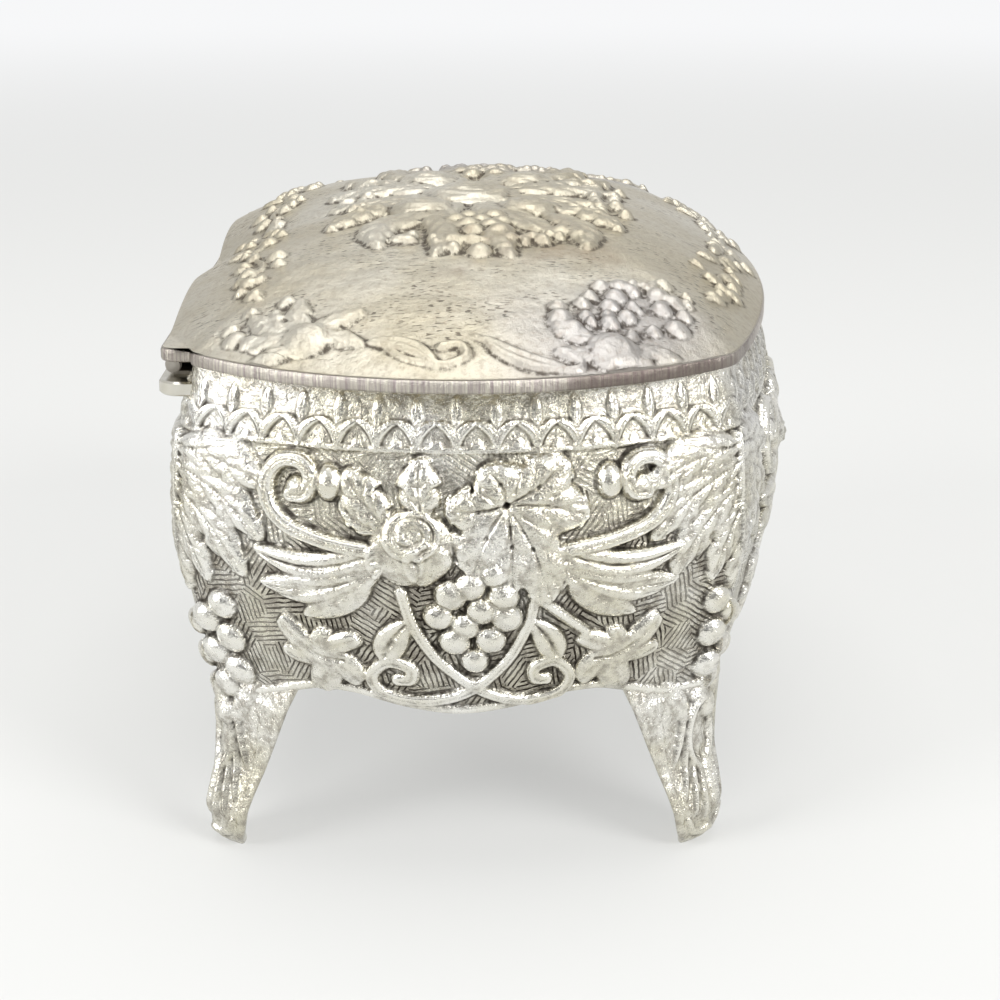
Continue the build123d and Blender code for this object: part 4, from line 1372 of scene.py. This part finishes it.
def cutStrokes(tree, place):
    # Patches of straight parallel strokes, each patch turned by a multiple of 45 degrees
    wobble = noise(tree, place, 0.5, 2.0, 0.5, "Color")
    inputs = {0: wobble, 1: (0.6, 0.6, 0), 2: place}
    shifted = addNode(tree, "ShaderNodeVectorMath", inputs, operation="MULTIPLY_ADD").outputs[0]
    inputs = {"Vector": shifted, "Scale": 1 / plate["patch"], "Randomness": 0.7}
    cells = addNode(tree, "ShaderNodeTexVoronoi", inputs)
    split = addNode(tree, "ShaderNodeSeparateColor", {0: cells.outputs["Color"]})
    turn = times(tree, sumOf(tree, "FLOOR", times(tree, split.outputs[0], 4.0)), math.pi / 4)
    turn = plus(tree, turn, 0.18)
    axes = addNode(tree, "ShaderNodeSeparateXYZ", {0: shifted})
    across = plus(
        tree, times(tree, axes.outputs[0], sumOf(tree, "COSINE", turn)),
        times(tree, axes.outputs[1], sumOf(tree, "SINE", turn)),
    )
    wave = sumOf(tree, "SINE", times(tree, across, 2 * math.pi / plate["strokePitch"]))
    broken = less(tree, noise(tree, place, 0.9, 2.0, 0.55), 0.5)
    return ramp(tree, plus(tree, wave, times(tree, broken, 1.8)), -0.25, -0.85)


def platedSilver():
    material, tree, shader = startMaterial("platedSilver")
    place, spot = surfacePlace(tree), objectPlace(tree)
    ground, hollow, deep, proud = readMarks(tree, "ground", "hollow", "deep", "proud")
    stroke = times(tree, cutStrokes(tree, place), ground)

    # Dark marks: patina and painted shade along the feet of the shapes, strokes darker lower down the walls
    # and darker still where painted shade falls among the shapes, and small pits
    level = addNode(tree, "ShaderNodeSeparateXYZ", {0: place}).outputs[1]
    lowDown = ramp(tree, level, 60.0, 42.0, 0.18, 0.55)
    uneven = ramp(tree, noise(tree, place, 0.14, 2.0, 0.5), 0.38, 0.6, 0.35, 1.0)
    # Painted shade: the ground where the surroundings stand higher, more of it lower down the wall
    shaded = times(tree, deep, ramp(tree, level, 62.0, 46.0, 0.1, 1.0), uneven)
    lowDown = plus(tree, lowDown, times(tree, shaded, 1.3), clamp=True)
    clouds = noise(tree, spot, 60.0, 4.0, 0.6)
    patchy = ramp(tree, noise(tree, place, 0.32, 3.0, 0.6), 0.32, 0.62)
    cutDark = times(tree, stroke, lowDown, ramp(tree, clouds, 0.3, 0.6, 0.6, 1.0))
    # Patina and painted shade in the narrow hollows
    grimeAndShade = times(tree, ramp(tree, hollow, 0.12, 0.75), patchy, 0.9)
    pits = ramp(tree, noise(tree, place, 3.1, 4.0, 0.72), 0.57, 0.70)
    dark = plus(tree, sumOf(tree, "MAXIMUM", grimeAndShade, cutDark), times(tree, pits, 0.30), clamp=True)
    dark = less(tree, dark, times(tree, proud, 0.6), clamp=True)
    duller = times(tree, ramp(tree, noise(tree, place, 0.45, 4.0, 0.72), 0.40, 0.64), 0.75)
    # The dull colour is partly uneven dullness of the plate and partly painted shade on the ground among the
    # shapes
    duller = plus(tree, duller, times(tree, shaded, ground, 0.8), clamp=True)
    colour = blendColour(tree, ramp(tree, clouds, 0.34, 0.62), plate["bright"], plate["warm"])
    colour = blendColour(tree, less(tree, duller, proud, clamp=True), colour, plate["dull"])
    # Raised places take the rubbed colour: wear, and also a painted highlight
    colour = blendColour(tree, times(tree, proud, 0.55, clamp=True), colour, plate["rubbed"])
    colour = blendColour(tree, dark, colour, plate["patinaAndShade"])
    fine = noise(tree, place, 2.2, 4.0, 0.65)
    rough = plus(tree, ramp(tree, fine, 0.3, 0.7, 0.13, 0.34, False), times(tree, dark, 0.35))

    # Relief: cut strokes, stippled skin and soft dents
    cutHeight = times(tree, stroke, -plate["strokeDepth"])
    grain = times(tree, noise(tree, place, 2.2, 4.0, 0.6), 0.15)
    dents = times(tree, noise(tree, place, 0.7, 2.0, 0.5), 0.4)
    skin = times(tree, plus(tree, grain, dents), ramp(tree, proud, 0.0, 0.6, 1.0, 0.4))
    finishMaterial(tree, shader, colour, rough, plus(tree, cutHeight, skin))
    return material


lidPlate = {
    "bright": (0.62, 0.59, 0.505, 1),
    "warm": (0.50, 0.455, 0.345, 1),
    "stain": (0.25, 0.19, 0.14, 1),
    "grey": (0.40, 0.385, 0.39, 1),
    "patinaAndShade": (0.045, 0.034, 0.026, 1),
    "edge": (0.36, 0.31, 0.30, 1),
    "edgeBrown": (0.10, 0.07, 0.06, 1),
}


def lidSilver():
    # Champagne-toned plate with clouds of tarnish, patina and painted shade in its hollows, short punched
    # dashes between the flowers, filed edge
    material, tree, shader = startMaterial("lidSilver")
    place, spot = surfacePlace(tree), objectPlace(tree)
    ground, hollow, proud, rim = readMarks(tree, "ground", "hollow", "proud", "rim")
    clouds = noise(tree, spot, 22.0, 4.0, 0.6)
    small = noise(tree, place, 0.9, 4.0, 0.65)
    dashes = ramp(tree, noise(tree, stretch(tree, place, (1.9, 0.62, 1)), 1.15, 1.0, 0.4), 0.60, 0.65)
    patches = ramp(tree, noise(tree, place, 0.075, 2.0, 0.5), 0.46, 0.56)
    dashes = times(tree, dashes, patches, ground)
    # Patina and painted shade in the hollows and round the flowers
    grimeAndShade = times(tree, ramp(tree, hollow, 0.10, 0.7), ramp(tree, small, 0.30, 0.58))
    dark = sumOf(tree, "MAXIMUM", times(tree, grimeAndShade, 0.85), times(tree, dashes, 0.65))
    speck = ramp(tree, noise(tree, place, 3.0, 3.0, 0.7), 0.62, 0.72)
    dark = plus(tree, dark, times(tree, speck, 0.3), clamp=True)
    dark = less(tree, dark, times(tree, proud, 0.35), clamp=True)
    colour = blendColour(tree, ramp(tree, clouds, 0.36, 0.60), lidPlate["bright"], lidPlate["warm"])
    greyer = times(tree, ramp(tree, noise(tree, spot, 13.0, 3.0, 0.5), 0.50, 0.62), 0.7)
    colour = blendColour(tree, greyer, colour, lidPlate["grey"])
    stains = times(tree, ramp(tree, noise(tree, spot, 19.0, 5.0, 0.68), 0.55, 0.70), 0.8)
    colour = blendColour(tree, stains, colour, lidPlate["stain"])
    mottled = times(tree, ramp(tree, small, 0.46, 0.68), 0.32)
    colour = blendColour(tree, mottled, colour, lidPlate["stain"])
    colour = blendColour(tree, dark, colour, lidPlate["patinaAndShade"])
    marks = noise(tree, stretch(tree, place, (1.0, 0.04, 1)), 1.6, 4.0, 0.7)
    worn = ramp(tree, noise(tree, place, 0.035, 2.0, 0.5), 0.40, 0.56)
    edgeColour = blendColour(tree, ramp(tree, marks, 0.35, 0.65), lidPlate["edge"], lidPlate["bright"])
    browned = blendColour(tree, 0.72, edgeColour, lidPlate["edgeBrown"])
    colour = blendColour(tree, rim, colour, blendColour(tree, worn, browned, edgeColour))
    duller = times(tree, plus(tree, dark, stains), 0.25)
    rough = plus(tree, ramp(tree, small, 0.3, 0.7, 0.28, 0.46, False), duller)

    # Relief: stippled skin, soft dents, punched dashes and file marks on the edge
    grain = times(tree, noise(tree, place, 1.8, 5.0, 0.68), 0.15)
    dents = times(tree, noise(tree, place, 0.2, 2.0, 0.5), 0.55)
    cut = plus(tree, times(tree, dashes, -0.12), times(tree, marks, rim, 0.16))
    finishMaterial(tree, shader, colour, rough, plus(tree, plus(tree, grain, dents), cut))
    return material


def dullMetal(name, colour, dark, grainScale, rough):
    # Plain metal with a directional grain, darker in blotches
    material, tree, shader = startMaterial(name)
    spot = objectPlace(tree)
    grain = noise(tree, stretch(tree, spot, grainScale), 1.0, 4.0, 0.65)
    blotch = noise(tree, spot, 120.0, 4.0, 0.6)
    shade = blendColour(tree, ramp(tree, blotch, 0.42, 0.72), colour, dark)
    shade = blendColour(tree, times(tree, grain, 0.35), shade, dark)
    rubbed = ramp(tree, grain, 0.3, 0.7, rough - 0.08, rough + 0.12, False)
    finishMaterial(tree, shader, shade, rubbed, times(tree, grain, 0.06))
    return material


pile = {
    "dark": (0.15, 0.008, 0.018, 1),
    "light": (0.30, 0.018, 0.036, 1),
    "deep": (0.13, 0.006, 0.016, 1),
    "sheen": (1.0, 0.3, 0.34, 1),
}


def velvetCloth():
    # Deep red pile: a sheen at the edges, brushed lighter and darker in soft patches
    material, tree, shader = startMaterial("redVelvet")
    spot = objectPlace(tree)
    brushed = noise(tree, spot, 60.0, 3.0, 0.55)
    tufts = noise(tree, spot, 4200.0, 2.0, 0.6)
    shade = blendColour(tree, ramp(tree, brushed, 0.35, 0.68), pile["dark"], pile["light"])
    shade = blendColour(tree, times(tree, tufts, 0.4), shade, pile["deep"])
    for name, value in (("Weight", 0.45), ("Roughness", 0.35), ("Tint", pile["sheen"])):
        shader.inputs["Sheen " + name].default_value = value
    height = plus(tree, times(tree, tufts, 0.10), times(tree, brushed, 0.25))
    finishMaterial(tree, shader, shade, 0.92, height, metallic=0.0, strength=0.8)
    return material


def greyCard():
    material, tree, shader = startMaterial("greyCard")
    fibres = noise(tree, stretch(tree, objectPlace(tree), (1, 1, 3)), 900.0, 4.0, 0.7)
    shade = blendColour(tree, fibres, (0.30, 0.27, 0.23, 1), (0.46, 0.43, 0.38, 1))
    finishMaterial(tree, shader, shade, 0.9, fibres, metallic=0.0, strength=0.6, distance=0.4 * mm)
    return material


def keepNode(name, material):
    # A part that keeps its modelled shape takes a new finish
    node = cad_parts[name]
    node.data.materials.clear()
    node.data.materials.append(material)


silver = platedSilver()
lidMetal = lidSilver()
hingeMetal = dullMetal("hingeMetal", (0.56, 0.53, 0.48, 1), (0.20, 0.17, 0.14, 1), (40, 900, 900), 0.42)
baseMetal = dullMetal("baseSheet", (0.60, 0.60, 0.60, 1), (0.38, 0.36, 0.34, 1), (60, 2600, 600), 0.34)
velvet = velvetCloth()
card = greyCard()
print("materials made")

for wall in walls:
    wallSlab(wall, silver)
    print("wall carved:", wall)
for side in (-1, 1):
    for rear in (True, False):
        name = ("near" if side < 0 else "far") + ("_rear" if rear else "_front") + "_foot"
        footPiece(name, side, rear, silver)
print("feet made")
rearFlange(silver)
wallFace = float(swell(insideRings["wallHeight"])) - box["wall"]
ringPiece("ledge", insideRings["ledge"], wallFace, silver, "box", "body_casting")
lidTops(lidMetal)
ringPiece("lid_lip", insideRings["lip"], 0.0, lidMetal, "lid", "lid_casting")
print("lid made")
back, front = lining["inset"], lining["inset"] + lining["card"]
for wall, side in {"nearEnd": "left", "farEnd": "right", "front": "front", "rear": "rear"}.items():
    node = side + "_wall_card"
    wallStrip(side + "_card_strip", wall, back, lining["card"], 0.0, card, node)
    node = side + "_wall_velvet"
    wallStrip(side + "_velvet_strip", wall, front, lining["velvet"], 0.25, velvet, node)
floorInset = back + lining["floorGap"]
flatSheet("floor_card_sheet", floorInset, *lining["floorCard"], card, "box", "lining_card", "floor_card")
flatSheet("lid_card_sheet", lining["lidInset"], *lining["lidCard"], card, "lid", "lining_card", "lid_card")
profile = [(lining["padInset"] + inset, height) for inset, height in lining["floorPad"]]
padPiece("floor_pad", profile, lining["floorRise"], velvet, "box", "floor_velvet", 0.10)
profile = [(lining["lidInset"] + inset, height) for inset, height in lining["lidPad"]]
padPiece("lid_pad", profile, lining["lidRise"], velvet, "lid", "lid_velvet", 0.08)
keepNode("base_plate", baseMetal)
for name in ("hinge_leaf_body", "hinge_leaf_lid", "hinge_pin"):
    keepNode(name, hingeMetal)
print("linings, base and hinge done")


# Floor, light, camera
def paintStage():
    # Pale table top that glows to the camera and to glossy rays, a painted light that is brighter far from
    # the box, where the studio's backdrop would be
    material, tree, shader = startMaterial("paleTable")
    away = addNode(tree, "ShaderNodeVectorMath", {0: objectPlace(tree)}, operation="LENGTH").outputs["Value"]
    far = ramp(tree, away, 0.35, 1.5)
    shader.inputs["Base Color"].default_value = (0.66, 0.66, 0.645, 1)
    shader.inputs["Roughness"].default_value = 0.8
    glow = blendColour(tree, far, (0.885, 0.89, 0.875, 1), (0.985, 0.99, 1.0, 1))
    white = addNode(tree, "ShaderNodeEmission", {"Color": glow, "Strength": 1.0})
    rays = addNode(tree, "ShaderNodeLightPath")
    seen = sumOf(tree, "MAXIMUM", rays.outputs["Is Camera Ray"], rays.outputs["Is Glossy Ray"])
    share = times(tree, seen, ramp(tree, far, 0.0, 1.0, 0.5, 0.9, False))
    mixed = addNode(tree, "ShaderNodeMixShader", {0: share, 1: shader.outputs[0], 2: white.outputs[0]})
    output = next(n for n in tree.nodes if n.type == "OUTPUT_MATERIAL")
    tree.links.new(mixed.outputs[0], output.inputs["Surface"])
    return material


def stagePlane(size):
    mesh = bpy.data.meshes.new("table")
    half = size / 2
    corners = [(-half, -half, 0), (half, -half, 0), (half, half, 0), (-half, half, 0)]
    mesh.from_pydata(corners, [], [(0, 1, 2, 3)])
    table = bpy.data.objects.new("table", mesh)
    bpy.context.collection.objects.link(table)
    mesh.materials.append(paintStage())


light = {
    "world": 0.5,
    "aim": 0.04,  # height that the lamps point at
    "dark": 0.06,  # how bright the room behind the camera is, as the metal sees it
    "key": {"at": (-0.75, -0.75, 0.65), "size": 0.5, "power": 10.0},
    "fill": {"at": (-0.55, 0.85, 0.5), "size": 0.5, "power": 7.0},
    "top": {"at": (0.1, 0.0, 1.1), "size": 0.9, "power": 7.0},
}


def addLamp(name, at, size, power):
    # Lamps are aimed at the middle of the box
    lamp = bpy.data.lights.new(name, "AREA")
    lamp.size = size
    lamp.energy = power
    holder = bpy.data.objects.new(name, lamp)
    bpy.context.collection.objects.link(holder)
    x, y, z = at
    holder.location = at
    flat = math.hypot(x, y)
    holder.rotation_euler = (math.atan2(flat, z - light["aim"]), 0, math.atan2(-y, -x) - math.pi / 2)


def lightScene():
    # White studio all round, with a darker room low down on the near side, which only the metal shows
    world = bpy.data.worlds.new("studio")
    bpy.context.scene.world = world
    world.use_nodes = True
    tree = world.node_tree
    tree.nodes.clear()
    output = tree.nodes.new("ShaderNodeOutputWorld")
    rays = addNode(tree, "ShaderNodeLightPath")
    towards = addNode(tree, "ShaderNodeTexCoord").outputs["Generated"]
    axes = addNode(tree, "ShaderNodeSeparateXYZ", {0: towards})
    nearSide = ramp(tree, axes.outputs[0], -0.25, -0.75)
    low = ramp(tree, axes.outputs[2], 0.62, 0.12)
    glossy = rays.outputs["Is Glossy Ray"]
    room = times(tree, nearSide, low, glossy, 1.0 - light["dark"])
    seen = sumOf(tree, "MAXIMUM", rays.outputs["Is Camera Ray"], rays.outputs["Is Transmission Ray"])
    seen = sumOf(tree, "MAXIMUM", seen, times(tree, glossy, 0.5))
    strength = times(tree, ramp(tree, seen, 0.0, 1.0, light["world"], 1.0, False), less(tree, 1.0, room))
    back = addNode(tree, "ShaderNodeBackground", {"Color": (0.985, 0.988, 1.0, 1), "Strength": strength})
    tree.links.new(back.outputs[0], output.inputs["Surface"])
    for name in ("key", "fill", "top"):
        addLamp(name, **light[name])


camera = {"at": (-0.3711, -0.0011, 0.154), "lens": 77.4, "sensor": 36.0, "down": 17.357}


def placeCamera():
    # It looks along the box from its near end, tilted down by an angle in degrees
    eye = bpy.data.cameras.new("camera")
    eye.lens = camera["lens"]
    eye.sensor_width = camera["sensor"]
    eye.clip_start = 0.01
    holder = bpy.data.objects.new("camera", eye)
    bpy.context.collection.objects.link(holder)
    holder.location = camera["at"]
    holder.rotation_euler = (math.radians(90 - camera["down"]), 0, math.radians(-90))
    bpy.context.scene.camera = holder


stagePlane(6.0)
lightScene()
placeCamera()
bpy.context.scene.view_settings.view_transform = "Standard"
print("stage, lamps and camera set")
